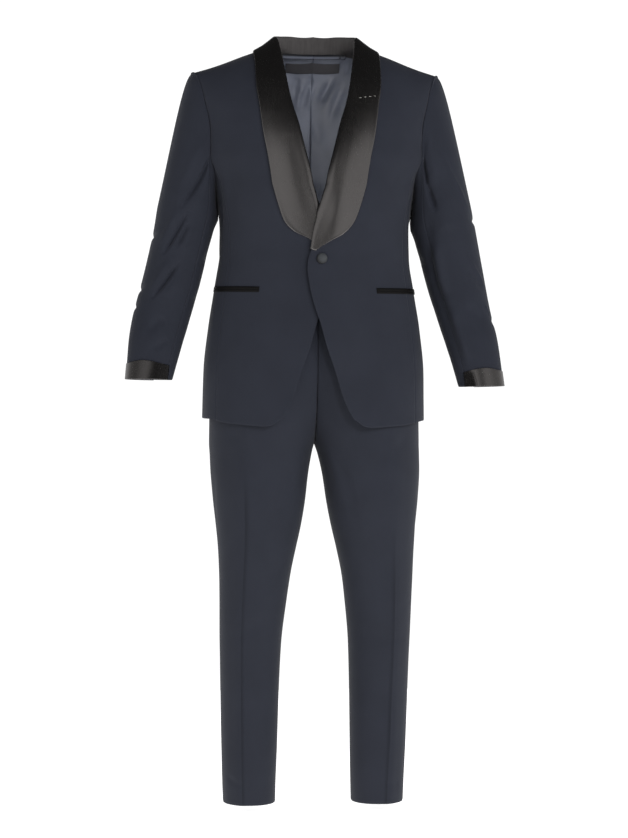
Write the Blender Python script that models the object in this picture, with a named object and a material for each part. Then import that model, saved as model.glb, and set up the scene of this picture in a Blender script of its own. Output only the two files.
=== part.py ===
"""Dinner suit: a shawl-collared jacket and its trousers, filled out as on a figure.

Metres, +Z up. The front faces -Y and the wearer's left is towards +X. The origin is in the
middle of the jacket at the height of the shoulders, where the wearer carries it.

Each cut piece is a flat grid that is drawn through into a wall of cloth and laid on the
form that the garment is cut to: one body for the jacket, two arms and two legs. A place on
the body is given by two measures: `across`, which turns from the centre line (0) to the side
(90 degrees), and `way`, which runs like a tape from the front hem up over the shoulder and
down the back. Way 0 is the underarm level and RIDGE is the shoulder seam.
"""

import math

import bmesh
import bpy
import numpy as np

# ---------------------------------------------------------------- driving sizes, in metres

WOOL = 0.0015
SATIN = 0.0014
LINING = 0.0010
SEAM = 0.00016  # each piece stops this far from its seam line
UNDERARM = -0.262  # height of the bottom of the armholes
HEM = -0.727  # height of the jacket's hem at the sides
RIDGE = 0.33  # way from the underarm level to the shoulder seam
AROUND = 2.4  # how square the body's sections are
ARCH = 2.3  # how square the shoulder is, seen from the side
LAP = 0.0080  # how far the left front stands off where it laps over the right one
LAP_FULL = 0.024  # the lap's full height reaches this far from the centre line
LAP_END = 0.095  # and is gone here
LAP_LEVELS = (-0.40, -0.30, -0.01, 0.10)  # levels where the lap starts, is full, and is gone again
NECK_SIDE = 0.081  # from the centre line to the side of the neck
NECK_BACK = 0.252  # level of the back neck seam at the centre back
HEM_SHIFT = 0.002  # the hem's middle is this far to the right
LEAN = 0.0055  # shift to the left for each metre up
HEM_TILT = 0.012  # the hem's fall to the left, for each metre across
EVENING = 0.014  # which is gone at the shoulders
WAIST_TOP = -0.438  # top of the trousers' waistband
WAIST_SEAM = -0.478  # seam under the waistband
CROTCH = -0.775
TROUSER_HEM = -1.497
TURNOUT = math.radians(21)  # the creases' turn away from straight ahead
LEFT = 1
RIGHT = -1


def smooth(keys, values, at):
    """Reads values at any key, along a cubic that never swings past its rows."""
    at = np.clip(at, keys[0], keys[-1])
    span = np.diff(keys)
    rise = np.diff(values) / span
    total = rise[:-1] + rise[1:]
    level = rise[:-1] * rise[1:] <= 0
    slope = np.empty(len(keys))
    slope[0] = rise[0]
    slope[-1] = rise[-1]
    slope[1:-1] = np.where(level, 0, 2 * rise[:-1] * rise[1:] / np.where(level, 1, total))
    i = np.clip(np.searchsorted(keys, at, side="right") - 1, 0, len(span) - 1)
    t = (at - keys[i]) / span[i]
    start = (1 + 2 * t) * (1 - t) ** 2 * values[i] + t * (1 - t) ** 2 * span[i] * slope[i]
    end = t * t * (3 - 2 * t) * values[i + 1] + t * t * (t - 1) * span[i] * slope[i + 1]
    return start + end


def ease(share):
    return share * share * (3 - 2 * share)


class Table:
    """Rows of sizes under named columns, read at any place between the rows."""

    def __init__(self, columns, *rows):
        self.names = columns.split()
        self.rows = np.array(sorted(rows), float)

    def __call__(self, name, key):
        return smooth(self.rows[:, 0], self.rows[:, self.names.index(name)], key)

    def column(self, name):
        return self.rows[:, self.names.index(name)]


# ---------------------------------------------------------------- the jacket's form

BODY = Table(
    "way half_width front back",
    (-0.485, 0.2243, 0.1355, 0.1425),
    (-0.465, 0.2240, 0.1350, 0.1418),  # hem
    (-0.364, 0.2215, 0.1320, 0.1380),  # seat
    (-0.283, 0.2130, 0.1280, 0.1260),
    (-0.203, 0.2010, 0.1240, 0.1080),  # pockets
    (-0.138, 0.1920, 0.1225, 0.1000),  # waist and button
    (-0.081, 0.1905, 0.1250, 0.1040),
    (0.000, 0.2000, 0.1310, 0.1160),  # underarm
    (0.043, 0.2248, 0.1315, 0.1220),
    (0.098, 0.2324, 0.1310, 0.1280),  # shoulder blades
    (0.168, 0.2475, 0.1300, 0.1320),
    (RIDGE, 0.2693, 0.1280, 0.1300),
)
SHOULDER = Table(
    "out height",
    (0.000, 0.0385),
    (0.081, 0.0265),  # side of the neck
    (0.128, 0.0107),
    (0.150, 0.0028),
    (0.1697, -0.0050),
    (0.1905, -0.0130),
    (0.2140, -0.0210),
    (0.2407, -0.0288),
    (0.2523, -0.0323),  # top of the sleeve
    (0.3000, -0.0500),
)
ARMHOLE = Table(  # share of the way up the loop, and the turn across at its front and back
    "share way front back",
    (0.00, 0.0000, 90.0, 90.0),
    (0.08, 0.0060, 82.0, 81.0),
    (0.18, 0.0275, 72.0, 71.0),
    (0.30, 0.0700, 66.5, 65.0),
    (0.44, 0.1200, 64.5, 62.5),
    (0.62, 0.1850, 63.8, 62.5),
    (0.80, 0.2500, 64.5, 63.8),
    (1.00, RIDGE, 66.0, 66.0),
)
SIDE_SEAMS = Table(  # turn across of the seams in front of and behind the side body
    "way front back",
    (-0.485, 60.0, 60.0),
    (-0.138, 62.0, 60.0),
    (0.0275, 72.0, 71.0),
)
FRONT_EDGE = Table(  # the left front's edge from the hem up to the roll of the lapel
    "way out",
    (-0.4690, 0.0750),
    (-0.4435, 0.0590),
    (-0.4141, 0.0470),
    (-0.3648, 0.0315),
    (-0.3197, 0.0155),
    (-0.2766, 0.0035),
    (-0.2356, -0.0100),
    (-0.1925, -0.0195),
    (-0.1650, -0.0225),
    (-0.1433, -0.0195),
    (-0.1330, -0.0155),
    (-0.1100, -0.0118),
    (-0.0850, -0.0068),
    (-0.0540, 0.0025),
    (-0.0300, 0.0085),
    (0.0040, 0.0180),
    (0.0370, 0.0310),
    (0.0750, 0.0440),
    (0.1050, 0.0550),
    (0.1480, 0.0655),
    (0.2070, 0.0740),
    (0.2700, 0.0795),
    (RIDGE, 0.0810),
)
HEM_DIP = Table(  # how far the hem hangs below the corner of the quarters
    "out dip",
    (0.0750, 0.0000),
    (0.0910, 0.0118),
    (0.1040, 0.0142),
    (0.1421, 0.0118),
    (0.1800, 0.0080),
    (0.2043, 0.0020),
    (0.2240, -0.0030),
)
HEM_DIP_TOP = -0.20  # rows above this level don't follow the hem's dip
# Levels of the fronts', side bodies' and backs' rows, so that their seams match row by row.
LOW_ROWS = (-0.465, -0.425, -0.375, -0.320, -0.265, -0.210, -0.165, -0.135, -0.095, -0.050, 0.0, 0.0275)
HIGH_ROWS = (0.070, 0.120, 0.175, 0.230, 0.285, RIDGE)


def power(value, squareness):
    return np.sign(value) * np.abs(value) ** (2 / squareness)


def posture(points):
    """The wearer's slight lean: the shoulders sit to the left, and the hem is lower there."""
    up = points[..., 2] - HEM
    out = points[..., 0]
    leaned = (out - HEM_SHIFT + LEAN * up, points[..., 1], points[..., 2] - out * (HEM_TILT - EVENING * up))
    return np.stack(leaned, -1)


def body(across, way):
    """A point of the jacket's outer face."""
    across, way = np.broadcast_arrays(np.asarray(across, float), np.asarray(way, float))
    behind = way > RIDGE
    level = np.where(behind, 2 * RIDGE - way, way)
    arch = np.clip(level, 0, RIDGE) / RIDGE * math.pi / 2
    out = BODY("half_width", level) * power(np.sin(across), AROUND)
    depth = np.where(behind, BODY("back", level), -BODY("front", level))
    forth = depth * power(np.cos(across), AROUND) * power(np.cos(arch), ARCH)
    top = SHOULDER("height", np.abs(out)) - UNDERARM
    height = UNDERARM + np.where(level < 0, level, top * power(np.sin(arch), ARCH))
    return posture(np.stack((out, forth, height), -1))


def normals(form, a, b):
    """Outward directions of a form, from its slopes along its two measures."""
    step = 1e-4
    along_a = form(a + step, b) - form(a - step, b)
    along_b = form(a, b + step) - form(a, b - step)
    out = np.cross(along_a, along_b)
    return out / np.maximum(np.linalg.norm(out, axis=-1, keepdims=True), 1e-12)


def turn_at(out, level):
    """The turn across at a distance out from the centre line."""
    share = np.clip(out / BODY("half_width", level), -1, 1)
    return np.sign(share) * np.arcsin(np.abs(share) ** (AROUND / 2))


def lap(across, way):
    """How far the left front and its lapel stand off the body, to lie over the right front."""
    out = body(np.abs(across), way)[..., 0] * np.sign(across)
    near = np.interp(out, (LAP_FULL, LAP_END), (1, 0))
    low = np.interp(way, LAP_LEVELS[:2], (0, 1))
    high = np.interp(way, LAP_LEVELS[2:], (1, 0))
    return LAP * ease(near) * ease(low) * ease(high)


# ---------------------------------------------------------------- making a piece


def material(name, colour, roughness):
    finish = bpy.data.materials.new(name)
    finish.use_nodes = True
    shader = finish.node_tree.nodes["Principled BSDF"]
    shader.inputs["Base Color"].default_value = (*colour, 1)
    shader.inputs["Roughness"].default_value = roughness
    return finish


ALL_EDGES = ("top", "bottom", "start", "end")


def keep(name, mesh, finish):
    piece = bpy.data.objects.new(name, mesh)
    bpy.data.collections["dinner_suit"].objects.link(piece)
    mesh.materials.append(finish)
    mesh.shade_smooth()
    mesh.set_sharp_from_angle(angle=math.radians(40))
    return piece


def cut_piece(name, lay, columns, rows, thickness, finish, free=()):
    """A piece of cloth: a flat grid, drawn through to its inner face and laid on its form.

    lay takes the shares u (columns) and v (rows) and gives points and outward directions.
    Edges named in free are not seams and reach their full size.
    """
    v, u = np.meshgrid(np.linspace(0, 1, rows + 1), np.linspace(0, 1, columns + 1), indexing="ij")
    outer, outward = lay(u, v)
    inner = outer - outward * thickness
    for face in (outer, inner):
        for edge, line, beside in (
            ("bottom", face[0], face[1]),
            ("top", face[-1], face[-2]),
            ("start", face[:, 0], face[:, 1]),
            ("end", face[:, -1], face[:, -2]),
        ):
            if edge not in free:
                line += SEAM * (beside - line) / np.linalg.norm(beside - line, axis=-1, keepdims=True)
    bm = bmesh.new()
    bmesh.ops.create_grid(bm, x_segments=columns, y_segments=rows, size=0.5)
    walls = bmesh.ops.extrude_face_region(bm, geom=bm.faces[:])
    drawn = {part for part in walls["geom"] if isinstance(part, bmesh.types.BMVert)}
    for vert in bm.verts:
        column = round((vert.co.x + 0.5) * columns)
        row = round((vert.co.y + 0.5) * rows)
        vert.co = (inner if vert in drawn else outer)[row, column]
    bmesh.ops.recalc_face_normals(bm, faces=bm.faces[:])
    bmesh.ops.triangulate(bm, faces=bm.faces[:])
    mesh = bpy.data.meshes.new(name)
    bm.to_mesh(mesh)
    bm.free()
    return keep(name, mesh, finish)


def on_body(side, across, way, off=0.0):
    """Points and outward directions on one side of the body, moved out by off."""
    outward = normals(body, side * across, way)
    return body(side * across, way) + outward * np.asarray(off)[..., None], outward


def row_levels(v, levels):
    return np.interp(v * (len(levels) - 1), range(len(levels)), levels)


# ---------------------------------------------------------------- jacket panels


def side_name(side):
    return "left" if side == LEFT else "right"


def edge_turn(level):
    """The turn across of the front edge and roll line."""
    return turn_at(FRONT_EDGE("out", level), level)


def armhole_turn(level, which):
    return np.radians(smooth(ARMHOLE.column("way"), ARMHOLE.column(which), level))


def panel_side(level, which):
    """The turn across of a front's or a back's outer side: its seam, then the armhole."""
    low = np.radians(SIDE_SEAMS(which, level))
    return np.where(level > LOW_ROWS[-1], armhole_turn(level, which), low)


def hem_drop(out, level):
    """The hem hangs lower at the front, and the rows above it follow less and less."""
    near = np.interp(level, (LOW_ROWS[0], HEM_DIP_TOP), (1, 0))
    return HEM_DIP("dip", out) * near**3


def jacket_front(side, wool):
    levels = LOW_ROWS + HIGH_ROWS

    def lay(u, v):
        level = row_levels(v, levels)
        across = edge_turn(level) * (1 - u) + panel_side(level, "front") * u
        out = BODY("half_width", level) * power(np.sin(across), AROUND)
        way = level - hem_drop(out, level)
        off = lap(across, way) if side == LEFT else 0 * u
        return on_body(side, across, way, off)

    name = f"jacket_front_{side_name(side)}"
    return cut_piece(name, lay, 9, len(levels) - 1, WOOL, wool, free=("bottom",))


SCOOP_TOP = -0.10  # rows above this level follow the armhole's scoop under the arm
SCOOP_SQUARE = 2.2


def jacket_side(side, wool):
    def lay(u, v):
        level = row_levels(v, LOW_ROWS)
        turned = 2 * u - 1
        start = np.radians(SIDE_SEAMS("front", level))
        end = math.pi - np.radians(SIDE_SEAMS("back", level))
        angle = start * (1 - u) + end * u
        follow = np.interp(level, (SCOOP_TOP, LOW_ROWS[-1]), (0, 1))
        scoop = LOW_ROWS[-1] * (1 - np.abs(turned) ** SCOOP_SQUARE) * follow
        out = BODY("half_width", level) * power(np.sin(angle), AROUND)
        low = level - scoop - hem_drop(out, level) * (1 - u)
        back = angle > math.pi / 2
        across = np.where(back, math.pi - angle, angle)
        return on_body(side, across, np.where(back, 2 * RIDGE - low, low))

    name = f"jacket_side_{side_name(side)}"
    return cut_piece(name, lay, 4, len(LOW_ROWS) - 1, WOOL, wool, free=("bottom",))


BACK_COLUMNS = 7
NECK_COLUMNS = 3  # of which this many lie across the back neck
NECK_PART = 0.207  # the share of the back's turn that the neck takes up at the shoulder seam
NECK_FALL = 0.10  # rows above this level sink with the back neck seam


def jacket_back(side, wool):
    levels = LOW_ROWS + HIGH_ROWS

    def lay(u, v):
        level = row_levels(v, levels)
        part = np.interp(u * BACK_COLUMNS, (0, NECK_COLUMNS, BACK_COLUMNS), (0, NECK_PART, 1))
        across = panel_side(level, "back") * part
        out = BODY("half_width", level) * power(np.sin(across), AROUND)
        fall = np.interp(level, (NECK_FALL, RIDGE), (0, 1))
        return on_body(side, across, 2 * RIDGE - level + (neck_way(out) - RIDGE) * fall**2)

    name = f"jacket_back_{side_name(side)}"
    return cut_piece(name, lay, BACK_COLUMNS, len(levels) - 1, WOOL, wool, free=("bottom",))


# ---------------------------------------------------------------- shawl collar

COLLAR_NECK = 0.23  # along the collar, the side of the neck
# Along the collar, its rows: they meet the columns of the backs and the rows of the fronts.
COLLAR_ROWS = (
    (0.0, 0.074, 0.140, 0.190, COLLAR_NECK, 0.252, 0.285, 0.345, 0.412, 0.500)
    + (0.555, 0.610, 0.700, 0.758, 0.820, 0.870, 0.910, 0.945, 0.970, 1.0)
)


def neck_way(out):
    """Way of the back neck seam, which sinks from the sides of the neck to the centre back."""
    return RIDGE + (RIDGE - NECK_BACK) * np.clip(1 - (out / NECK_SIDE) ** 2, 0, 1)


COLLAR = {  # along the collar: its roll line and outer edge on the body, and its stand
    side: Table(
        "along fold_out fold_way edge_out edge_way stand",
        (-0.09, -0.040, 0.4020, -0.052, 0.426, 0.0268),
        (0.00, 0.000, 0.4080, 0.000, 0.4325, 0.0315),  # centre back
        (0.09, 0.040, 0.4020, 0.052, 0.426, 0.0268),
        (0.17, 0.068, 0.3800, 0.097, 0.400, 0.0187),
        (0.23, 0.081, RIDGE, 0.124, 0.350, 0.0155),  # side of the neck
        (0.30, 0.0795, 0.270, 0.1255, 0.275, 0.0105),
        (0.37, 0.074, 0.207, 0.1235, 0.215, 0.005),
        (0.45, 0.0655, 0.148, 0.1225, 0.160, 0.002),
        (0.53, 0.055, 0.105, 0.1165, 0.112, 0.0),
        (0.60, 0.044, 0.075, 0.1100, 0.068, 0.0),
        (0.68, 0.031, 0.037, 0.1000, 0.030, 0.0),
        (0.75, 0.018, 0.004, 0.0900, -0.007, 0.0),
        (0.82, 0.0085, -0.030, 0.0795, -0.043, 0.0),
        (0.88, 0.0025, -0.054, 0.0675, -0.075, 0.0),
        (0.93, -0.0068, -0.085, 0.0480, -0.098 + rise / 2, 0.0),
        (0.97, -0.0118, -0.110, 0.0220, -0.113 + rise, 0.0),
        (1.00, -0.0148, -0.1300, -0.0080, -0.1330 + rise, 0.0),
    )
    for side, rise in ((LEFT, 0.0), (RIGHT, 0.006))
}
COLLAR_SECTION = Table(  # across the collar: step from the roll line, share of the leaf, off, stand
    "share step neck_step leaf off neck_off stand",
    (0.00, -0.0031, -0.0044, 0.00, -0.0022, -0.0030, 0.00),
    (0.12, -0.0034, -0.0044, 0.00, -0.0010, -0.0030, 0.25),
    (0.24, -0.0032, -0.0046, 0.00, 0.0004, -0.0020, 0.70),
    (0.36, -0.0022, -0.0036, 0.00, 0.0020, 0.0014, 1.00),
    (0.46, 0.0012, 0.0006, 0.02, 0.0032, 0.0050, 0.97),
    (0.62, 0.0020, 0.0030, 0.30, 0.0033, 0.0055, 0.45),
    (0.80, 0.0010, 0.0010, 0.64, 0.0033, 0.0056, 0.11),
    (1.00, 0.0000, 0.0000, 1.00, 0.0030, 0.0045, 0.00),
)


NECK_STAND = 0.006  # a stand this high or higher takes the section's neck sizes
LEAST_LEAF = 0.005


def collar(side):
    """The form of one half of the collar: share across it and share along it."""
    table = COLLAR[side]

    def form(share, along):
        share, along = np.broadcast_arrays(np.asarray(share, float), np.asarray(along, float))
        outs = [table(f"{line}_out", along) for line in ("fold", "edge")]
        ways = [table(f"{line}_way", along) for line in ("fold", "edge")]
        behind = along < COLLAR_NECK
        ways[0] = np.where(behind, neck_way(outs[0]), np.minimum(ways[0], RIDGE))
        outs[0] = np.where(behind, outs[0], FRONT_EDGE("out", ways[0]))
        turns = [turn_at(out, np.where(way > RIDGE, 2 * RIDGE - way, way)) for out, way in zip(outs, ways)]
        width = np.linalg.norm(body(side * turns[1], ways[1]) - body(side * turns[0], ways[0]), axis=-1)
        neck = np.clip(table("stand", along) / NECK_STAND, 0, 1)
        step = COLLAR_SECTION("step", share) * (1 - neck) + COLLAR_SECTION("neck_step", share) * neck
        part = COLLAR_SECTION("leaf", share) + step / np.maximum(width, LEAST_LEAF)
        across = turns[0] * (1 - part) + turns[1] * part
        way = ways[0] * (1 - part) + ways[1] * part
        off = COLLAR_SECTION("off", share) * (1 - neck) + COLLAR_SECTION("neck_off", share) * neck
        off = off + (lap(across, way) if side == LEFT else 0)
        points = body(side * across, way) + normals(body, side * across, way) * off[..., None]
        points[..., 2] += table("stand", along) * COLLAR_SECTION("stand", share)
        return points

    return form


def shawl_collar(side, satin):
    form = collar(side)

    def lay(u, v):
        along = row_levels(v, COLLAR_ROWS)
        return form(u, along), -side * normals(form, u, along)

    rows = len(COLLAR_ROWS) - 1
    return cut_piece(f"shawl_collar_{side_name(side)}", lay, 8, rows, SATIN, satin, free=("start", "end"))


# ---------------------------------------------------------------- lining, label and hanger loop

LINING_TOP_OFF = -0.0036  # the lining's outer face at the neck seam, inside the backs
LINING_OFF = -0.0060  # and lower down
LINING_FOOT = 0.80  # way of the lining's lower edge, hidden by the fronts
LINING_TURN = math.radians(56)  # turn across of its outer edge
LINING_RIDGE = 0.0135  # at the sides of the neck it stops this far behind the shoulder seam
LINING_SEAM = 0.0015  # and at the centre this far below the neck seam


def lining_back(side, lining):
    def lay(u, v):
        across = LINING_TURN * u
        out = BODY("half_width", RIDGE) * power(np.sin(across), AROUND)
        down = np.interp(v, (0, 0.4, 1), (1, 0.45, 0))
        top = np.maximum(neck_way(out) + LINING_SEAM, RIDGE + LINING_RIDGE)
        way = LINING_FOOT * down + top * (1 - down)
        drop = np.clip(down / 0.10, 0, 1)
        return on_body(side, across, way, LINING_TOP_OFF * (1 - drop) + LINING_OFF * drop)

    return cut_piece(f"lining_back_{side_name(side)}", lay, 5, 9, LINING, lining, free=("bottom", "end"))


LABEL = {"half": 0.056, "way": 0.430, "depth": 0.030, "bow": 0.010, "off": 0.0022, "thickness": 0.0006}


def label_patch(satin):
    """A blank strip of cloth on the lining, below the hanger loop."""

    def lay(u, v):
        out = LABEL["half"] * (2 * u - 1)
        way = LABEL["way"] + LABEL["depth"] * (1 - v) - LABEL["bow"] * (2 * u - 1) ** 2
        across = turn_at(out, 2 * RIDGE - way)
        return on_body(LEFT, across, way, LINING_OFF - LINING - LABEL["off"] + 0 * u)

    return cut_piece("label_patch", lay, 8, 1, LABEL["thickness"], satin, free=ALL_EDGES)


LOOP = {"start": -0.065, "end": 0.067, "off": 0.0009, "lean": 0.007, "thickness": 0.003}
LOOP_LINE = Table(  # the loop's middle line and its half width
    "out way half",
    (0.000, 0.4045, 0.0042),
    (0.015, 0.4000, 0.0044),
    (0.030, 0.3953, 0.0050),
    (0.045, 0.3902, 0.0058),
    (0.0585, 0.3847, 0.0064),
    (0.067, 0.3805, 0.0064),
)


def hanger_loop(satin):
    """A folded strip across the back neck, whose lower edge stands off the lining."""

    def lay(u, v):
        out = LOOP["start"] * (1 - u) + LOOP["end"] * u
        way = LOOP_LINE("way", np.abs(out)) - LOOP_LINE("half", np.abs(out)) * (2 * v - 1)
        across = turn_at(out, 2 * RIDGE - way)
        off = LINING_OFF - LINING - LOOP["off"] - LOOP["lean"] * (1 - v)
        return on_body(LEFT, across, way, off)

    return cut_piece("hanger_loop", lay, 12, 1, LOOP["thickness"], satin, free=ALL_EDGES)


# ---------------------------------------------------------------- sleeves

SLEEVES = {  # height of the sleeve's middle, its place, half sizes and the tilt of its sections
    RIGHT: Table(
        "height out forth half_width half_depth tilt",
        (-0.6470, 0.3325, -0.045, 0.0462, 0.0350, 1.0),
        (-0.6080, 0.3260, -0.035, 0.0500, 0.0400, 4.0),
        (-0.5670, 0.3188, -0.025, 0.0538, 0.0450, 8.0),
        (-0.5270, 0.3094, -0.014, 0.0560, 0.0490, 12.0),
        (-0.4460, 0.2871, 0.000, 0.0571, 0.0550, 13.5),
        (-0.3650, 0.2681, 0.005, 0.0578, 0.0590, 13.0),
        (-0.3130, 0.2573, 0.006, 0.0600, 0.0610, 12.5),
    ),
    LEFT: Table(
        "height out forth half_width half_depth tilt",
        (-0.6600, 0.3336, -0.045, 0.0455, 0.0345, 1.0),
        (-0.6062, 0.3242, -0.035, 0.0496, 0.0400, 4.0),
        (-0.5656, 0.3161, -0.025, 0.0523, 0.0450, 8.0),
        (-0.5248, 0.3058, -0.014, 0.0535, 0.0490, 12.0),
        (-0.4430, 0.2871, 0.000, 0.0586, 0.0550, 13.5),
        (-0.3616, 0.2699, 0.005, 0.0617, 0.0590, 13.0),
        (-0.3311, 0.2634, 0.006, 0.0628, 0.0610, 12.5),
    ),
}
SLEEVE_TRIM = 0.0002  # share of the length left off at both ends, so that slopes can be read there
BICEP = 0.60  # share of the sleeve's length where the cap starts
SLEEVE_SQUARE = 2.15
SLEEVE_GAP = 0.0014  # from the armhole's edge to the sleeve's
FOREARM_SEAM = 0.13  # turns from the underarm, through the front
HINDARM_SEAM = 0.78
UPPER_COLUMNS = 9
UPPER_MIDDLE = 5 / 9  # share of the upper sleeve's columns from the forearm seam to the crown
UNDER_COLUMNS = 5
SLEEVE_ROWS = 12
CAP_ROWS = 5  # of which this many lie on the cap
CAP_LEAN = 0.45  # how much of the armhole's outward direction follows the body's own
CAP_LEAVE = (0.020, 0.125)  # reach of the cap's curve above the tube, under the arm and at the crown
CAP_ARRIVE = (0.006, 0.012)  # and its reach beside the armhole


def armhole(side, turn):
    """A point of the armhole and the way out from it. turn runs from the underarm forward."""
    turn = np.mod(turn, 1)
    share = 1 - np.abs(2 * turn - 1)
    in_front = turn < 0.5
    level = ARMHOLE("way", share)
    across = np.radians(np.where(in_front, ARMHOLE("front", share), ARMHOLE("back", share)))
    across = np.minimum(across, math.radians(89.5))
    way = np.where(in_front, level, 2 * RIDGE - level)
    outward = CAP_LEAN * normals(body, side * across, way)
    outward[..., 0] += side
    outward /= np.linalg.norm(outward, axis=-1, keepdims=True)
    return body(side * across, way) + outward * SLEEVE_GAP, outward


def sleeve(side):
    """The form of a sleeve: turn around it and share of its length from the cuff."""
    table = SLEEVES[side]
    low, high = table.rows[0, 0], table.rows[-1, 0]

    def ring(turn, height):
        tilt = np.radians(table("tilt", height))
        reach = -table("half_width", height) * power(np.cos(2 * math.pi * turn), SLEEVE_SQUARE)
        forth = table("forth", height) - table("half_depth", height) * power(
            np.sin(2 * math.pi * turn), SLEEVE_SQUARE
        )
        out = table("out", height) + reach * np.cos(tilt)
        return np.stack((side * out, forth, height + reach * np.sin(tilt)), -1)

    def form(turn, share):
        turn, share = np.broadcast_arrays(np.asarray(turn, float), np.asarray(share, float))
        tube = ring(turn, low + (high - low) * np.minimum(share / BICEP, 1))
        start = ring(turn, np.full(turn.shape, high))
        end, outward = armhole(side, turn)
        topness = ((1 - np.cos(2 * math.pi * turn)) / 2)[..., None]
        slope = math.radians(table.column("tilt")[-1])
        up = np.array((-side * math.sin(slope), 0, math.cos(slope)))
        leave = start + up * (CAP_LEAVE[0] + CAP_LEAVE[1] * topness)
        arrive = end + outward * (CAP_ARRIVE[0] + CAP_ARRIVE[1] * topness)
        t = np.clip((share - BICEP) / (1 - BICEP), 0, 1)[..., None]
        cap = start * (1 - t) ** 3 + 3 * leave * t * (1 - t) ** 2 + 3 * arrive * t**2 * (1 - t) + end * t**3
        return np.where((share < BICEP)[..., None], tube, cap)

    return form


def on_sleeve(side, turn, share, off=0.0):
    form = sleeve(side)
    share = np.clip(share, SLEEVE_TRIM, 1 - SLEEVE_TRIM)
    outward = side * normals(form, turn, share)
    return form(turn, share) + outward * np.asarray(off)[..., None], outward


def sleeve_piece(side, part, wool):
    start, end, columns = {
        "upper": (FOREARM_SEAM, HINDARM_SEAM, UPPER_COLUMNS),
        "under": (HINDARM_SEAM - 1, FOREARM_SEAM, UNDER_COLUMNS),
    }[part]

    def lay(u, v):
        share = np.interp(v, (0, 1 - CAP_ROWS / SLEEVE_ROWS, 1), (0, BICEP, 1))
        middle = 0.5 if part == "upper" else 0.0
        return on_sleeve(side, np.interp(u, (0, UPPER_MIDDLE, 1), (start, middle, end)), share)

    name = f"sleeve_{part}_{side_name(side)}"
    return cut_piece(name, lay, columns, SLEEVE_ROWS, WOOL, wool, free=("bottom", "top"))


CUFF_SHARE = 0.064  # share of the sleeve's length that the cuff covers
CUFF_OFF = 0.0024
CUFF_FLARE = 0.0035  # its upper edge stands off this much more on the outer side


def cuff(side, satin):
    """A satin turn-back that stands off the sleeve towards its upper edge."""

    def lay(u, v):
        turn = np.interp(u, (0, UPPER_MIDDLE, 1), (FOREARM_SEAM, 0.5, HINDARM_SEAM))
        outer = np.clip(-np.cos(2 * math.pi * turn), 0, 1)
        return on_sleeve(side, turn, CUFF_SHARE * v, CUFF_OFF + CUFF_FLARE * outer * v)

    return cut_piece(f"cuff_{side_name(side)}", lay, UPPER_COLUMNS, 1, SATIN, satin, free=ALL_EDGES)


# ---------------------------------------------------------------- pockets and button

POCKET_WAY = -0.2035  # top of the upper jet at its front end
POCKET_SLOPE = 0.004  # the pocket rises this much towards the side
POCKET_START = 31.0  # turn across at the front end
POCKET_END = 86.0
JET = 0.0055
JET_GAP = 0.0003
JET_OFF = 0.0018
JET_THICKNESS = 0.0011


def pocket_jet(side, which, satin):
    drop = {"upper": 0.0, "lower": JET + JET_GAP}[which]

    def lay(u, v):
        across = np.radians(POCKET_START * (1 - u) + POCKET_END * u)
        way = POCKET_WAY + POCKET_SLOPE * u - drop - JET * (1 - v)
        return on_body(side, across, way, JET_OFF + 0 * u)

    name = f"pocket_jet_{which}_{side_name(side)}"
    return cut_piece(name, lay, 9, 1, JET_THICKNESS, satin, free=ALL_EDGES)


BUTTON_OUT = 0.0055
BUTTON_WAY = -0.148
BUTTON_RADIUS = 0.0107
BUTTON_HEIGHT = 0.0058
BUTTON_SEAT = 0.0003
BUTTON_PROFILE = Table(  # across the radius and up the height, from the seat over the dome
    "place radius height",
    (0, 0.0, 0.0),
    (1, 0.55, 0.0),
    (2, 0.92, 0.22),
    (3, 1.0, 0.42),
    (4, 0.90, 0.68),
    (5, 0.62, 0.90),
    (6, 0.30, 0.98),
    (7, 0.0, 1.0),
)


def front_button(satin):
    """A domed, cloth-covered button, turned about its shank."""
    across = turn_at(BUTTON_OUT, BUTTON_WAY)
    seat = body(across, BUTTON_WAY)
    outward = normals(body, across, np.asarray(BUTTON_WAY))
    seat = seat + outward * (lap(across, BUTTON_WAY) + BUTTON_SEAT)
    mesh = bpy.data.meshes.new("front_button")
    bm = bmesh.new()
    profile = zip(BUTTON_PROFILE.column("radius"), BUTTON_PROFILE.column("height"))
    points = [bm.verts.new((r * BUTTON_RADIUS, 0, h * BUTTON_HEIGHT)) for r, h in profile]
    rim = [bm.edges.new(pair) for pair in zip(points, points[1:])]
    turned = {"cent": (0, 0, 0), "axis": (0, 0, 1), "angle": 2 * math.pi, "steps": 12, "use_merge": True}
    bmesh.ops.spin(bm, geom=points + rim, **turned)
    bmesh.ops.remove_doubles(bm, verts=bm.verts[:], dist=0.00002)
    bmesh.ops.recalc_face_normals(bm, faces=bm.faces[:])
    bmesh.ops.triangulate(bm, faces=bm.faces[:])
    bm.to_mesh(mesh)
    bm.free()
    button = keep("front_button", mesh, satin)
    pitch = math.atan2(-outward[1], outward[2])
    button.rotation_euler = (pitch, 0, math.atan2(outward[0], -outward[1]))
    button.location = seat
    return button


# ---------------------------------------------------------------- trousers

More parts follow.
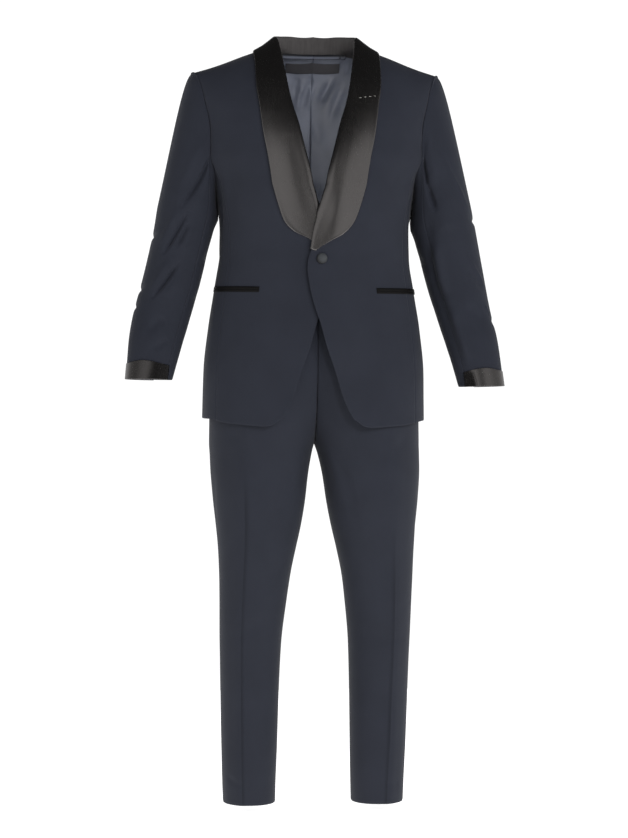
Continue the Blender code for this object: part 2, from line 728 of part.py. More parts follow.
LEG = Table(  # height of a section, the middle and half sizes of one leg, and its sway to the left
    "height middle half_width front back forth sway",
    (-1.500, 0.1296, 0.0526, 0.0600, 0.0620, 0.014, -0.0010),
    (-1.471, 0.1299, 0.0535, 0.0605, 0.0630, 0.014, -0.0010),
    (-1.374, 0.1303, 0.0566, 0.0630, 0.0670, 0.013, 0.0000),
    (-1.277, 0.1306, 0.0589, 0.0650, 0.0710, 0.011, 0.0008),
    (-1.180, 0.1301, 0.0620, 0.0675, 0.0735, 0.007, 0.0018),
    (-1.083, 0.1262, 0.0681, 0.0720, 0.0760, 0.002, 0.0034),
    (-1.034, 0.1235, 0.0722, 0.0750, 0.0790, 0.000, 0.0040),
    (-0.986, 0.1196, 0.0783, 0.0795, 0.0840, -0.001, 0.0040),
    (-0.937, 0.1162, 0.0860, 0.0850, 0.0900, -0.002, 0.0036),
    (-0.889, 0.1143, 0.0927, 0.0910, 0.0970, -0.002, 0.0030),
    (-0.840, 0.1129, 0.0977, 0.0960, 0.1040, -0.001, 0.0022),
    (-0.792, 0.1087, 0.1030, 0.1010, 0.1120, 0.000, 0.0008),
    (CROTCH, 0.1062, 0.1058, 0.1025, 0.1150, 0.000, 0.0),
    (-0.745, 0.1000, 0.1117, 0.1050, 0.1200, 0.000, 0.0),
    (-0.700, 0.0890, 0.1220, 0.1090, 0.1260, 0.000, 0.0),
    (-0.630, 0.0690, 0.1390, 0.1140, 0.1270, 0.000, 0.0),
    (-0.560, 0.0450, 0.1540, 0.1120, 0.1170, 0.000, 0.0),
    (-0.500, 0.0200, 0.1600, 0.1060, 0.1000, 0.000, 0.0),
    (-0.436, 0.0000, 0.1660, 0.1020, 0.0900, 0.000, 0.0),
)
LEG_SQUARE = 2.15
CREASE_RISE = 0.0035
CREASE_SPREAD = math.radians(13)
CREASE_TOP = -0.62  # the pressed creases start below this height
CREASE_FULL = -0.74  # and are full from here down
LEG_RADIUS = 0.09  # the crease's rise is a share of this


def leg(side):
    """The form of a trouser half: turn from the front (0) through the outer side to the back."""

    def form(turn, height):
        turn, height = np.broadcast_arrays(np.asarray(turn, float), np.asarray(height, float))
        pressed = np.interp(height, (CREASE_FULL, CREASE_TOP), (1, 0))
        around = np.mod(turn - TURNOUT + math.pi / 2, math.pi) - math.pi / 2
        ridge = 1 + CREASE_RISE / LEG_RADIUS * pressed * np.exp(-((around / CREASE_SPREAD) ** 2))
        depth = np.where(np.cos(turn) > 0, LEG("front", height), LEG("back", height))
        out = LEG("middle", height) + LEG("half_width", height) * power(np.sin(turn), LEG_SQUARE) * ridge
        forth = LEG("forth", height) - depth * power(np.cos(turn), LEG_SQUARE) * ridge
        return np.stack((side * out + LEG("sway", height), forth, height), -1)

    return form


def centre_turn(height):
    """How far a half reaches inward: to the centre line above the crotch, or to the inseam."""
    share = np.clip((LEG("middle", height) - SEAM) / LEG("half_width", height), 0, 1)
    return -np.arcsin(share ** (LEG_SQUARE / 2))


def on_leg(side, turn, height, off=0.0):
    form = leg(side)
    outward = side * normals(form, turn, height)
    return form(turn, height) + outward * np.asarray(off)[..., None], outward


TROUSER_ROWS = (
    (TROUSER_HEM, -1.38, -1.26, -1.15, -1.06, -0.995, -0.937, -0.885, -0.830)
    + (CROTCH, -0.745, -0.700, -0.630, -0.560, WAIST_SEAM)
)


def trouser_panel(side, which, wool):
    def lay(u, v):
        height = row_levels(v, TROUSER_ROWS)
        if which == "front":
            turn = centre_turn(height) * (1 - u) + math.pi / 2 * u
        else:
            turn = math.pi / 2 * (1 - u) + (math.pi - centre_turn(height)) * u
        return on_leg(side, turn, height)

    name = f"trouser_{which}_{side_name(side)}"
    return cut_piece(name, lay, 8, len(TROUSER_ROWS) - 1, WOOL, wool, free=("bottom",))


BAND_OFF = 0.001
BAND_THICKNESS = 0.0025  # two layers of wool and their stiffening


def waistband(side, wool):
    def lay(u, v):
        height = WAIST_SEAM * (1 - v) + WAIST_TOP * v
        turn = centre_turn(height) * (1 - u) + (math.pi - centre_turn(height)) * u
        return on_leg(side, turn, height, BAND_OFF + 0 * u)

    return cut_piece(f"waistband_{side_name(side)}", lay, 12, 1, BAND_THICKNESS, wool, free=("top",))


FLY_END = -0.668
FLY_TOP = -0.479
FLY_HALF = 0.022
FLY_OFF = 0.0045  # from the trousers' outer face in to the shield's


def fly_shield(wool):
    """The strip of wool behind the front opening, from the waistband to the fly's end."""

    def lay(u, v):
        height = FLY_END * (1 - v) + FLY_TOP * v
        out = FLY_HALF * (2 * u - 1) * np.interp(v, (0, 0.15, 1), (0.35, 0.8, 1))
        share = (np.abs(out) - LEG("middle", height)) / LEG("half_width", height)
        turn = np.arcsin(np.abs(share) ** (LEG_SQUARE / 2)) * np.sign(share)
        points = leg(LEFT)(turn, height) - normals(leg(LEFT), turn, height) * FLY_OFF
        points[..., 0] = out
        return points, np.zeros_like(points) + np.array((0, -1, 0))

    return cut_piece("fly_shield", lay, 6, 6, WOOL, wool, free=ALL_EDGES)


# ---------------------------------------------------------------- the suit


def main():
    for thing in list(bpy.data.objects):
        bpy.data.objects.remove(thing)
    suit = bpy.data.collections.new("dinner_suit")
    bpy.context.scene.collection.children.link(suit)
    wool = material("navy_wool", (0.026, 0.029, 0.040), 0.85)
    satin = material("black_satin", (0.010, 0.010, 0.011), 0.30)
    lining = material("blue_grey_lining", (0.070, 0.078, 0.110), 0.40)
    for side in (LEFT, RIGHT):
        jacket_front(side, wool)
        jacket_side(side, wool)
        jacket_back(side, wool)
        sleeve_piece(side, "upper", wool)
        sleeve_piece(side, "under", wool)
        cuff(side, satin)
        shawl_collar(side, satin)
        lining_back(side, lining)
        pocket_jet(side, "upper", satin)
        pocket_jet(side, "lower", satin)
        trouser_panel(side, "front", wool)
        trouser_panel(side, "back", wool)
        waistband(side, wool)
    front_button(satin)
    hanger_loop(satin)
    label_patch(satin)
    fly_shield(wool)


main()
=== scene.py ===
"""Dinner suit: a shawl-collared jacket with satin trimmings and its trousers, as they are worn.

Metres, +Z up; the front faces -Y and the wearer's left is towards +X. Every piece of cloth is a
fine grid laid on the form that the garment is cut to, with its folds raised on it, and is drawn
in to its thickness. A place on the jacket's body is given by `across`, the turn from the centre
line to the side, and `way`, which runs like a tape from the front hem over the shoulder and down
the back: 0 is the underarm level and RIDGE the shoulder seam.
"""

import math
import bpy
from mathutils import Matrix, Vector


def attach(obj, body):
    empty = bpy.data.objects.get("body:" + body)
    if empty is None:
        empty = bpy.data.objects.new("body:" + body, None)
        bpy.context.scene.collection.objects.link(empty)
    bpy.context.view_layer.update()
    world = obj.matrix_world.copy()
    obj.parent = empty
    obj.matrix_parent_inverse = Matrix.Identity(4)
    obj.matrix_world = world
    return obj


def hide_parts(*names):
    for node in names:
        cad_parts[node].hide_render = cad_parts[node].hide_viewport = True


bl_info = {
    "name": "Dinner Suit",
    "version": (1, 0, 0),
    "blender": (4, 5, 0),
    "location": "3D View > Sidebar > Suit",
    "description": "Cuts and dresses a shawl-collared dinner jacket and its trousers",
    "category": "Add Mesh",
}

from functools import partial

import bmesh
import bpy
import numpy as np
from bpy.props import FloatProperty, FloatVectorProperty, PointerProperty

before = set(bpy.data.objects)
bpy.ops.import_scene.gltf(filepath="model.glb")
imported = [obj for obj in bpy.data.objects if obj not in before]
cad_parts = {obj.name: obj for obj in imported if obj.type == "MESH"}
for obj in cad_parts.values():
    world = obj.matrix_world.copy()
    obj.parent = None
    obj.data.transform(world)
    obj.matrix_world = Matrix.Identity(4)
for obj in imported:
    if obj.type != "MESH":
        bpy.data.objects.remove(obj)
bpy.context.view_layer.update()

# ---------------------------------------------------------------- driving sizes, in metres

UNDERARM = -0.262  # height of the bottom of the armholes
HEM = -0.727  # height of the jacket's hem at the sides
HEM_LEVEL = -0.465  # the same, from the underarm level
CORNER_LEVEL = 0.0275  # level where the side bodies end and the armhole takes over
RIDGE = 0.33  # way from the underarm level to the shoulder seam
AROUND = 2.4  # how square the body's sections are
ARCH = 2.3  # how square the shoulder is, seen from the side
LAP = 0.0080  # how far the left front stands off where it laps over the right one
LAP_FULL = 0.024  # the lap's full height reaches this far from the centre line
LAP_END = 0.095  # and is gone here
LAP_LEVELS = (-0.40, -0.30, 0.00, 0.11)  # levels where the lap starts, is full, and is gone again
NECK_SIDE = 0.081  # from the centre line to the side of the neck
NECK_BACK = 0.252  # level of the back neck seam at the centre back
COLLAR_NECK = 0.23  # along the collar, its place at the side of the neck
HEM_SHIFT = 0.002  # the hem's middle is this far to the right
LEAN = 0.0055  # shift to the left for each metre up
HEM_TILT = 0.012  # the hem's fall to the left, for each metre across
EVENING = 0.014  # which is gone at the shoulders
WAIST_TOP = -0.438  # top of the trousers' waistband
WAIST_SEAM = -0.478  # seam under the waistband
CROTCH = -0.775
TROUSER_HEM = -1.497
TURNOUT = math.radians(21)  # the creases' turn away from straight ahead
LEFT = 1
RIGHT = -1
CENTRE_GAP = 0.00016  # each half of the trousers stops this far from the centre line
SIDES = ((LEFT, "left"), (RIGHT, "right"))
TAU = 2 * math.pi
TINY = 1e-12  # keeps a direction of no length from dividing by 0
SLOPE_STEP = 1e-4  # forms are read this far to both sides for their slopes

# ---------------------------------------------------------------- the form that the cloth is laid on


def smooth(keys, values, at):
    """Reads values at any key, along a cubic that never swings past its rows."""
    at = np.clip(at, keys[0], keys[-1])
    span = np.diff(keys)
    rise = np.diff(values) / span
    total = rise[:-1] + rise[1:]
    level = rise[:-1] * rise[1:] <= 0
    slope = np.empty(len(keys))
    slope[0] = rise[0]
    slope[-1] = rise[-1]
    slope[1:-1] = np.where(level, 0, 2 * rise[:-1] * rise[1:] / np.where(level, 1, total))
    i = np.clip(np.searchsorted(keys, at, side="right") - 1, 0, len(span) - 1)
    t = (at - keys[i]) / span[i]
    start = (1 + 2 * t) * (1 - t) ** 2 * values[i] + t * (1 - t) ** 2 * span[i] * slope[i]
    end = t * t * (3 - 2 * t) * values[i + 1] + t * t * (t - 1) * span[i] * slope[i + 1]
    return start + end


def ease(share):
    return share * share * (3 - 2 * share)


class Table:
    """Rows of sizes under named columns, read at any place between the rows."""

    def __init__(self, columns, *rows):
        self.names = columns.split()
        self.rows = np.array(sorted(rows), float)

    def __call__(self, name, key):
        return smooth(self.rows[:, 0], self.rows[:, self.names.index(name)], key)

    def column(self, name):
        return self.rows[:, self.names.index(name)]


BODY = Table(
    "way half_width front back",
    (-0.485, 0.2243, 0.1355, 0.1425),
    (-0.465, 0.2240, 0.1350, 0.1418),  # hem
    (-0.364, 0.2215, 0.1320, 0.1380),  # seat
    (-0.283, 0.2130, 0.1280, 0.1260),
    (-0.203, 0.2010, 0.1240, 0.1080),  # pockets
    (-0.138, 0.1920, 0.1225, 0.1000),  # waist and button
    (-0.081, 0.1905, 0.1250, 0.1040),
    (0.000, 0.2000, 0.1310, 0.1160),  # underarm
    (0.043, 0.2248, 0.1315, 0.1220),
    (0.098, 0.2324, 0.1310, 0.1280),  # shoulder blades
    (0.168, 0.2475, 0.1300, 0.1320),
    (RIDGE, 0.2693, 0.1280, 0.1300),
)
SHOULDER = Table(
    "out height",
    (0.000, 0.0385),
    (0.081, 0.0265),  # side of the neck
    (0.128, 0.0107),
    (0.150, 0.0028),
    (0.1697, -0.0050),
    (0.1905, -0.0130),
    (0.2140, -0.0210),
    (0.2407, -0.0288),
    (0.2523, -0.0323),  # top of the sleeve
    (0.3000, -0.0500),
)
ARMHOLE = Table(  # share of the way up the loop, and the turn across at its front and back
    "share way front back",
    (0.00, 0.0000, 90.0, 90.0),
    (0.08, 0.0060, 82.0, 81.0),
    (0.18, 0.0275, 72.0, 71.0),
    (0.30, 0.0700, 66.5, 65.0),
    (0.44, 0.1200, 64.5, 62.5),
    (0.62, 0.1850, 63.8, 62.5),
    (0.80, 0.2500, 64.5, 63.8),
    (1.00, RIDGE, 66.0, 66.0),
)
SIDE_SEAMS = Table(  # turn across of the seams in front of and behind the side body
    "way front back",
    (-0.485, 60.0, 60.0),
    (-0.138, 62.0, 60.0),
    (0.0275, 72.0, 71.0),
)
FRONT_EDGE = Table(  # the left front's edge from the hem up to the roll of the lapel
    "way out",
    (-0.4690, 0.0750),
    (-0.4435, 0.0590),
    (-0.4141, 0.0470),
    (-0.3648, 0.0315),
    (-0.3197, 0.0155),
    (-0.2766, 0.0035),
    (-0.2356, -0.0100),
    (-0.1925, -0.0195),
    (-0.1650, -0.0225),
    (-0.1433, -0.0195),
    (-0.1330, -0.0155),
    (-0.1100, -0.0118),
    (-0.0850, -0.0068),
    (-0.0540, 0.0025),
    (-0.0300, 0.0085),
    (0.0040, 0.0180),
    (0.0370, 0.0310),
    (0.0750, 0.0440),
    (0.1050, 0.0550),
    (0.1480, 0.0655),
    (0.2070, 0.0740),
    (0.2700, 0.0795),
    (RIDGE, 0.0810),
)
HEM_DIP = Table(  # how far the hem hangs below the corner of the quarters
    "out dip",
    (0.0750, 0.0000),
    (0.0910, 0.0118),
    (0.1040, 0.0142),
    (0.1421, 0.0118),
    (0.1800, 0.0080),
    (0.2043, 0.0020),
    (0.2240, -0.0030),
)
HEM_DIP_TOP = -0.20  # rows above this level don't follow the hem's dip


def power(value, squareness):
    return np.sign(value) * np.abs(value) ** (2 / squareness)


def posture(points):
    """The wearer's slight lean: the shoulders sit to the left, and the hem is lower there."""
    up = points[..., 2] - HEM
    out = points[..., 0]
    height = points[..., 2] - out * (HEM_TILT - EVENING * up)
    return np.stack((out - HEM_SHIFT + LEAN * up, points[..., 1], height), -1)


def out_at(across, level):
    """Distance out from the centre line at a turn across."""
    return BODY("half_width", level) * power(np.sin(across), AROUND)


def body(across, way):
    """A point of the jacket's outer face."""
    across, way = np.broadcast_arrays(np.asarray(across, float), np.asarray(way, float))
    behind = way > RIDGE
    level = np.where(behind, 2 * RIDGE - way, way)
    arch = np.clip(level, 0, RIDGE) / RIDGE * math.pi / 2
    out = out_at(across, level)
    depth = np.where(behind, BODY("back", level), -BODY("front", level))
    forth = depth * power(np.cos(across), AROUND) * power(np.cos(arch), ARCH)
    top = SHOULDER("height", np.abs(out)) - UNDERARM
    height = UNDERARM + np.where(level < 0, level, top * power(np.sin(arch), ARCH))
    return posture(np.stack((out, forth, height), -1))


def normals(form, a, b):
    """Outward directions of a form, from its slopes along its two measures."""
    along_a = form(a + SLOPE_STEP, b) - form(a - SLOPE_STEP, b)
    along_b = form(a, b + SLOPE_STEP) - form(a, b - SLOPE_STEP)
    out = np.cross(along_a, along_b)
    return out / np.maximum(np.linalg.norm(out, axis=-1, keepdims=True), TINY)


def raised(form, facing, a, b, off):
    """Points that stand off a form, and the outward directions there, which facing turns about."""
    outward = facing * normals(form, a, b)
    return form(a, b) + outward * np.asarray(off)[..., None], outward


def on_body(side, across, way, off=0.0):
    return raised(body, 1, side * across, way, off)


def turn_at(out, level):
    """The turn across at a distance out from the centre line."""
    share = np.clip(out / BODY("half_width", level), -1, 1)
    return np.sign(share) * np.arcsin(np.abs(share) ** (AROUND / 2))


def lap(across, way):
    """How far the left front and its lapel stand off the body, to lie over the right front."""
    out = body(np.abs(across), way)[..., 0] * np.sign(across)
    near = np.interp(out, (LAP_FULL, LAP_END), (1, 0))
    low = np.interp(way, LAP_LEVELS[:2], (0, 1))
    high = np.interp(way, LAP_LEVELS[2:], (1, 0))
    return LAP * ease(near) * ease(low) * ease(high)


def edge_turn(level):
    """The turn across of the front edge and roll line."""
    return turn_at(FRONT_EDGE("out", level), level)


def armhole_turn(level, which):
    return np.radians(smooth(ARMHOLE.column("way"), ARMHOLE.column(which), level))


def panel_side(level, which):
    """The turn across of a front's or a back's outer side: its seam, then the armhole."""
    low = np.radians(SIDE_SEAMS(which, level))
    return np.where(level > CORNER_LEVEL, armhole_turn(level, which), low)


def hem_drop(out, level):
    """The hem hangs lower at the front, and the rows above it follow less and less."""
    near = np.interp(level, (HEM_LEVEL, HEM_DIP_TOP), (1, 0))
    return HEM_DIP("dip", out) * near**3


def neck_way(out):
    """Way of the back neck seam, which sinks from the sides of the neck to the centre back."""
    return RIDGE + (RIDGE - NECK_BACK) * np.clip(1 - (out / NECK_SIDE) ** 2, 0, 1)


COLLAR = {  # along the collar: its roll line and outer edge on the body, and its stand
    side: Table(
        "along fold_out fold_way edge_out edge_way stand",
        (-0.09, -0.040, 0.4020, -0.052, 0.426, 0.0268),
        (0.00, 0.000, 0.4080, 0.000, 0.4325, 0.0315),  # centre back
        (0.09, 0.040, 0.4020, 0.052, 0.426, 0.0268),
        (0.17, 0.068, 0.3800, 0.097, 0.400, 0.0187),
        (0.23, 0.081, RIDGE, 0.124, 0.350, 0.0155),  # side of the neck
        (0.30, 0.0795, 0.270, 0.1255, 0.275, 0.0105),
        (0.37, 0.074, 0.207, 0.1235, 0.215, 0.005),
        (0.45, 0.0655, 0.148, 0.1225, 0.160, 0.002),
        (0.53, 0.055, 0.105, 0.1165, 0.112, 0.0),
        (0.60, 0.044, 0.075, 0.1100, 0.068, 0.0),
        (0.68, 0.031, 0.037, 0.1000, 0.030, 0.0),
        (0.75, 0.018, 0.004, 0.0900, -0.007, 0.0),
        (0.82, 0.0085, -0.030, 0.0795, -0.043, 0.0),
        (0.88, 0.0025, -0.054, 0.0675, -0.075, 0.0),
        (0.93, -0.0068, -0.085, 0.0480, -0.098 + rise / 2, 0.0),
        (0.97, -0.0118, -0.110, 0.0220, -0.113 + rise, 0.0),
        (1.00, -0.0148, -0.1300, -0.0080, -0.1330 + rise, 0.0),
    )
    for side, rise in ((LEFT, 0.0), (RIGHT, 0.006))
}
COLLAR_SECTION = Table(  # across the collar: step from the roll line, share of the leaf, off, stand
    "share step neck_step leaf off neck_off stand",
    (0.00, -0.0031, -0.0044, 0.00, -0.0022, -0.0030, 0.00),
    (0.12, -0.0034, -0.0044, 0.00, -0.0010, -0.0030, 0.25),
    (0.24, -0.0032, -0.0046, 0.00, 0.0004, -0.0020, 0.70),
    (0.36, -0.0022, -0.0036, 0.00, 0.0020, 0.0014, 1.00),
    (0.46, 0.0012, 0.0006, 0.02, 0.0032, 0.0050, 0.97),
    (0.62, 0.0020, 0.0030, 0.30, 0.0033, 0.0055, 0.45),
    (0.80, 0.0010, 0.0010, 0.64, 0.0033, 0.0056, 0.11),
    (1.00, 0.0000, 0.0000, 1.00, 0.0030, 0.0045, 0.00),
)


NECK_STAND = 0.006  # a stand this high or higher takes the section's neck sizes
LEAST_LEAF = 0.005  # width that the leaf is counted as where it is narrower
FACING_SHARE = 0.16  # the collar's inner facing, as a share across it that is counted below 0
FACING_TURN = 0.004  # it turns inside the lining within this distance
FACING = Table(  # along the collar, how deep the facing runs, and how far inside the jacket
    "along depth inside",
    (0.00, 0.0045, 0.0060),
    (0.05, 0.0055, 0.0070),
    (0.09, 0.0090, 0.0078),
    (0.13, 0.0200, 0.0078),
    (0.17, 0.0360, 0.0078),
    (0.20, 0.0340, 0.0078),
    (0.24, 0.0180, 0.0070),
    (0.30, 0.0080, 0.0045),
    (0.80, 0.0060, 0.0034),
    (1.00, 0.0060, 0.0034),
)
SWELL = Table(  # the soft belly of a lapel behind its roll
    "share rise",
    (0.28, 0.0000),
    (0.36, 0.0012),
    (0.46, 0.0044),
    (0.54, 0.0068),
    (0.64, 0.0086),
    (0.76, 0.0090),
    (1.00, 0.0060),
)
SWELL_REACH = {  # where along the collar it starts, is full, and is gone again; and how full it is
    LEFT: ((0.30, 0.46, 0.80, 1.00), 0.75),
    RIGHT: ((0.32, 0.46, 0.70, 0.88), 0.3),
}


def collar(side, share, along):
    """The form of one half of the collar: share across it, below 0 on its facing, and along it."""
    table = COLLAR[side]
    share, along = np.broadcast_arrays(np.asarray(share, float), np.asarray(along, float))
    outs = [table(f"{line}_out", along) for line in ("fold", "edge")]
    ways = [table(f"{line}_way", along) for line in ("fold", "edge")]
    behind = along < COLLAR_NECK
    ways[0] = np.where(behind, neck_way(outs[0]), np.minimum(ways[0], RIDGE))
    outs[0] = np.where(behind, outs[0], FRONT_EDGE("out", ways[0]))
    levels = [np.where(way > RIDGE, 2 * RIDGE - way, way) for way in ways]
    turns = [turn_at(out, level) for out, level in zip(outs, levels)]
    fold, edge = (body(side * turn, way) for turn, way in zip(turns, ways))
    width = np.linalg.norm(edge - fold, axis=-1)
    neck = np.clip(table("stand", along) / NECK_STAND, 0, 1)
    step = COLLAR_SECTION("step", share) * (1 - neck) + COLLAR_SECTION("neck_step", share) * neck
    deep = FACING("depth", along) * np.clip(-share / FACING_SHARE, 0, 1)
    part = COLLAR_SECTION("leaf", share) + (step + deep) / np.maximum(width, LEAST_LEAF)
    across = turns[0] * (1 - part) + turns[1] * part
    way = ways[0] * (1 - part) + ways[1] * part
    off = COLLAR_SECTION("off", share) * (1 - neck) + COLLAR_SECTION("neck_off", share) * neck
    turned = ease(np.clip(deep / FACING_TURN, 0, 1))
    off = off * (1 - turned) - FACING("inside", along) * turned
    off = off + (lap(across, way) if side == LEFT else 0)
    points, _ = on_body(side, across, way, off)
    points[..., 2] += table("stand", along) * COLLAR_SECTION("stand", share)
    return points


SLEEVES = {  # height of the sleeve's middle, its place, half sizes and the tilt of its sections
    RIGHT: Table(
        "height out forth half_width half_depth tilt",
        (-0.6470, 0.3325, -0.045, 0.0462, 0.0350, 1.0),
        (-0.6080, 0.3260, -0.035, 0.0500, 0.0400, 4.0),
        (-0.5670, 0.3188, -0.025, 0.0538, 0.0450, 8.0),
        (-0.5270, 0.3094, -0.014, 0.0560, 0.0490, 12.0),
        (-0.4460, 0.2871, 0.000, 0.0571, 0.0550, 13.5),
        (-0.3650, 0.2681, 0.005, 0.0578, 0.0590, 13.0),
        (-0.3130, 0.2573, 0.006, 0.0600, 0.0610, 12.5),
    ),
    LEFT: Table(
        "height out forth half_width half_depth tilt",
        (-0.6600, 0.3336, -0.045, 0.0455, 0.0345, 1.0),
        (-0.6062, 0.3242, -0.035, 0.0496, 0.0400, 4.0),
        (-0.5656, 0.3161, -0.025, 0.0523, 0.0450, 8.0),
        (-0.5248, 0.3058, -0.014, 0.0535, 0.0490, 12.0),
        (-0.4430, 0.2871, 0.000, 0.0586, 0.0550, 13.5),
        (-0.3616, 0.2699, 0.005, 0.0617, 0.0590, 13.0),
        (-0.3311, 0.2634, 0.006, 0.0628, 0.0610, 12.5),
    ),
}
SLEEVE_TRIM = 0.0002  # share of the length left off at both ends, so that slopes can be read there
BICEP = 0.60  # share of the sleeve's length where the cap starts
SLEEVE_SQUARE = 2.15  # how square its sections are
SLEEVE_GAP = -0.003  # the sleeve's edge is sewn in this far inside the armhole
FOREARM_SEAM = 0.13  # turns from the underarm, through the front
HINDARM_SEAM = 0.78
ARMHOLE_FOOT = math.radians(89.5)  # the armhole's foot turns across no further than this
CAP_LEAN = 0.45  # how much of the armhole's outward direction follows the body's own
CAP_LEAVE = (0.020, 0.125)  # reach of the cap's curve above the tube, under the arm and at the crown
CAP_ARRIVE = (0.006, 0.012)  # and its reach beside the armhole


def armhole(side, turn):
    """A point of the armhole and the way out from it. turn runs from the underarm forward."""
    turn = np.mod(turn, 1)
    share = 1 - np.abs(2 * turn - 1)
    in_front = turn < 0.5
    level = ARMHOLE("way", share)
    across = np.radians(np.where(in_front, ARMHOLE("front", share), ARMHOLE("back", share)))
    across = np.minimum(across, ARMHOLE_FOOT)
    way = np.where(in_front, level, 2 * RIDGE - level)
    outward = CAP_LEAN * normals(body, side * across, way)
    outward[..., 0] += side
    outward /= np.linalg.norm(outward, axis=-1, keepdims=True)
    return body(side * across, way) + outward * SLEEVE_GAP, outward


def sleeve_tube(side, turn, height):
    """The sleeve's lower part: turn around it and height of its middle."""
    table = SLEEVES[side]
    tilt = np.radians(table("tilt", height))
    reach = -table("half_width", height) * power(np.cos(TAU * turn), SLEEVE_SQUARE)
    depth = table("half_depth", height) * power(np.sin(TAU * turn), SLEEVE_SQUARE)
    out = table("out", height) + reach * np.cos(tilt)
    return np.stack((side * out, table("forth", height) - depth, height + reach * np.sin(tilt)), -1)


def sleeve(side, turn, share):
    """The form of a sleeve: turn around it and share of its length from the cuff."""
    turn, share = np.broadcast_arrays(np.asarray(turn, float), np.asarray(share, float))
    low, *_, high = SLEEVES[side].column("height")
    tube = sleeve_tube(side, turn, low + (high - low) * np.minimum(share / BICEP, 1))
    start = sleeve_tube(side, turn, np.full(turn.shape, high))
    end, outward = armhole(side, turn)
    topness = ((1 - np.cos(TAU * turn)) / 2)[..., None]
    slope = math.radians(SLEEVES[side].column("tilt")[-1])
    up = np.array((-side * math.sin(slope), 0, math.cos(slope)))
    leave = start + up * (CAP_LEAVE[0] + CAP_LEAVE[1] * topness)
    arrive = end + outward * (CAP_ARRIVE[0] + CAP_ARRIVE[1] * topness)
    t = np.clip((share - BICEP) / (1 - BICEP), 0, 1)[..., None]
    cap = start * (1 - t) ** 3 + 3 * leave * t * (1 - t) ** 2 + 3 * arrive * t**2 * (1 - t) + end * t**3
    return np.where((share < BICEP)[..., None], tube, cap)


def on_sleeve(side, turn, share, off=0.0):
    share = np.clip(share, SLEEVE_TRIM, 1 - SLEEVE_TRIM)
    return raised(partial(sleeve, side), side, turn, share, off)


LEG = Table(  # height of a section, the middle and half sizes of one leg, and its sway to the left
    "height middle half_width front back forth sway",
    (-1.500, 0.1296, 0.0526, 0.0600, 0.0620, 0.014, -0.0010),
    (-1.471, 0.1299, 0.0535, 0.0605, 0.0630, 0.014, -0.0010),
    (-1.374, 0.1303, 0.0566, 0.0630, 0.0670, 0.013, 0.0000),
    (-1.277, 0.1306, 0.0589, 0.0650, 0.0710, 0.011, 0.0008),
    (-1.180, 0.1301, 0.0620, 0.0675, 0.0735, 0.007, 0.0018),
    (-1.083, 0.1262, 0.0681, 0.0720, 0.0760, 0.002, 0.0034),
    (-1.034, 0.1235, 0.0722, 0.0750, 0.0790, 0.000, 0.0040),
    (-0.986, 0.1196, 0.0783, 0.0795, 0.0840, -0.001, 0.0040),
    (-0.937, 0.1162, 0.0860, 0.0850, 0.0900, -0.002, 0.0036),
    (-0.889, 0.1143, 0.0927, 0.0910, 0.0970, -0.002, 0.0030),
    (-0.840, 0.1129, 0.0977, 0.0960, 0.1040, -0.001, 0.0022),
    (-0.792, 0.1087, 0.1030, 0.1010, 0.1120, 0.000, 0.0008),
    (CROTCH, 0.1062, 0.1058, 0.1025, 0.1150, 0.000, 0.0),
    (-0.745, 0.1000, 0.1117, 0.1050, 0.1200, 0.000, 0.0),
    (-0.700, 0.0890, 0.1220, 0.1090, 0.1260, 0.000, 0.0),
    (-0.630, 0.0690, 0.1390, 0.1140, 0.1270, 0.000, 0.0),
    (-0.560, 0.0450, 0.1540, 0.1120, 0.1170, 0.000, 0.0),
    (-0.500, 0.0200, 0.1600, 0.1060, 0.1000, 0.000, 0.0),
    (-0.436, 0.0000, 0.1660, 0.1020, 0.0900, 0.000, 0.0),
)
LEG_SQUARE = 2.15  # how square its sections are
CREASE_RISE = 0.0035  # how far a pressed crease draws the leg's round out
CREASE_SPREAD = math.radians(13)  # and how far it reaches round
CREASE_TOP = -0.62  # the pressed creases start below this height
CREASE_FULL = -0.74  # and are full from here down
LEG_RADIUS = 0.09  # the crease's rise is a share of this


def leg(side, turn, height):
    """The form of a trouser half: turn from the front (0) through the outer side to the back."""
    turn, height = np.broadcast_arrays(np.asarray(turn, float), np.asarray(height, float))
    pressed = np.interp(height, (CREASE_FULL, CREASE_TOP), (1, 0))
    around = np.mod(turn - TURNOUT + math.pi / 2, math.pi) - math.pi / 2
    ridge = 1 + CREASE_RISE / LEG_RADIUS * pressed * np.exp(-((around / CREASE_SPREAD) ** 2))
    depth = np.where(np.cos(turn) > 0, LEG("front", height), LEG("back", height))
    out = LEG("middle", height) + LEG("half_width", height) * power(np.sin(turn), LEG_SQUARE) * ridge
    forth = LEG("forth", height) - depth * power(np.cos(turn), LEG_SQUARE) * ridge
    return np.stack((side * out + LEG("sway", height), forth, height), -1)


def centre_turn(height):
    """How far a half reaches inward: to the centre line above the crotch, or to the inseam."""
    share = np.clip((LEG("middle", height) - CENTRE_GAP) / LEG("half_width", height), 0, 1)
    return -np.arcsin(share ** (LEG_SQUARE / 2))


# ---------------------------------------------------------------- folds

FOLD_ENDS = 0.25  # a fold's height at its two ends, as a share of its full height
FOLD_RUN = 3.2  # which it has past its length divided by this


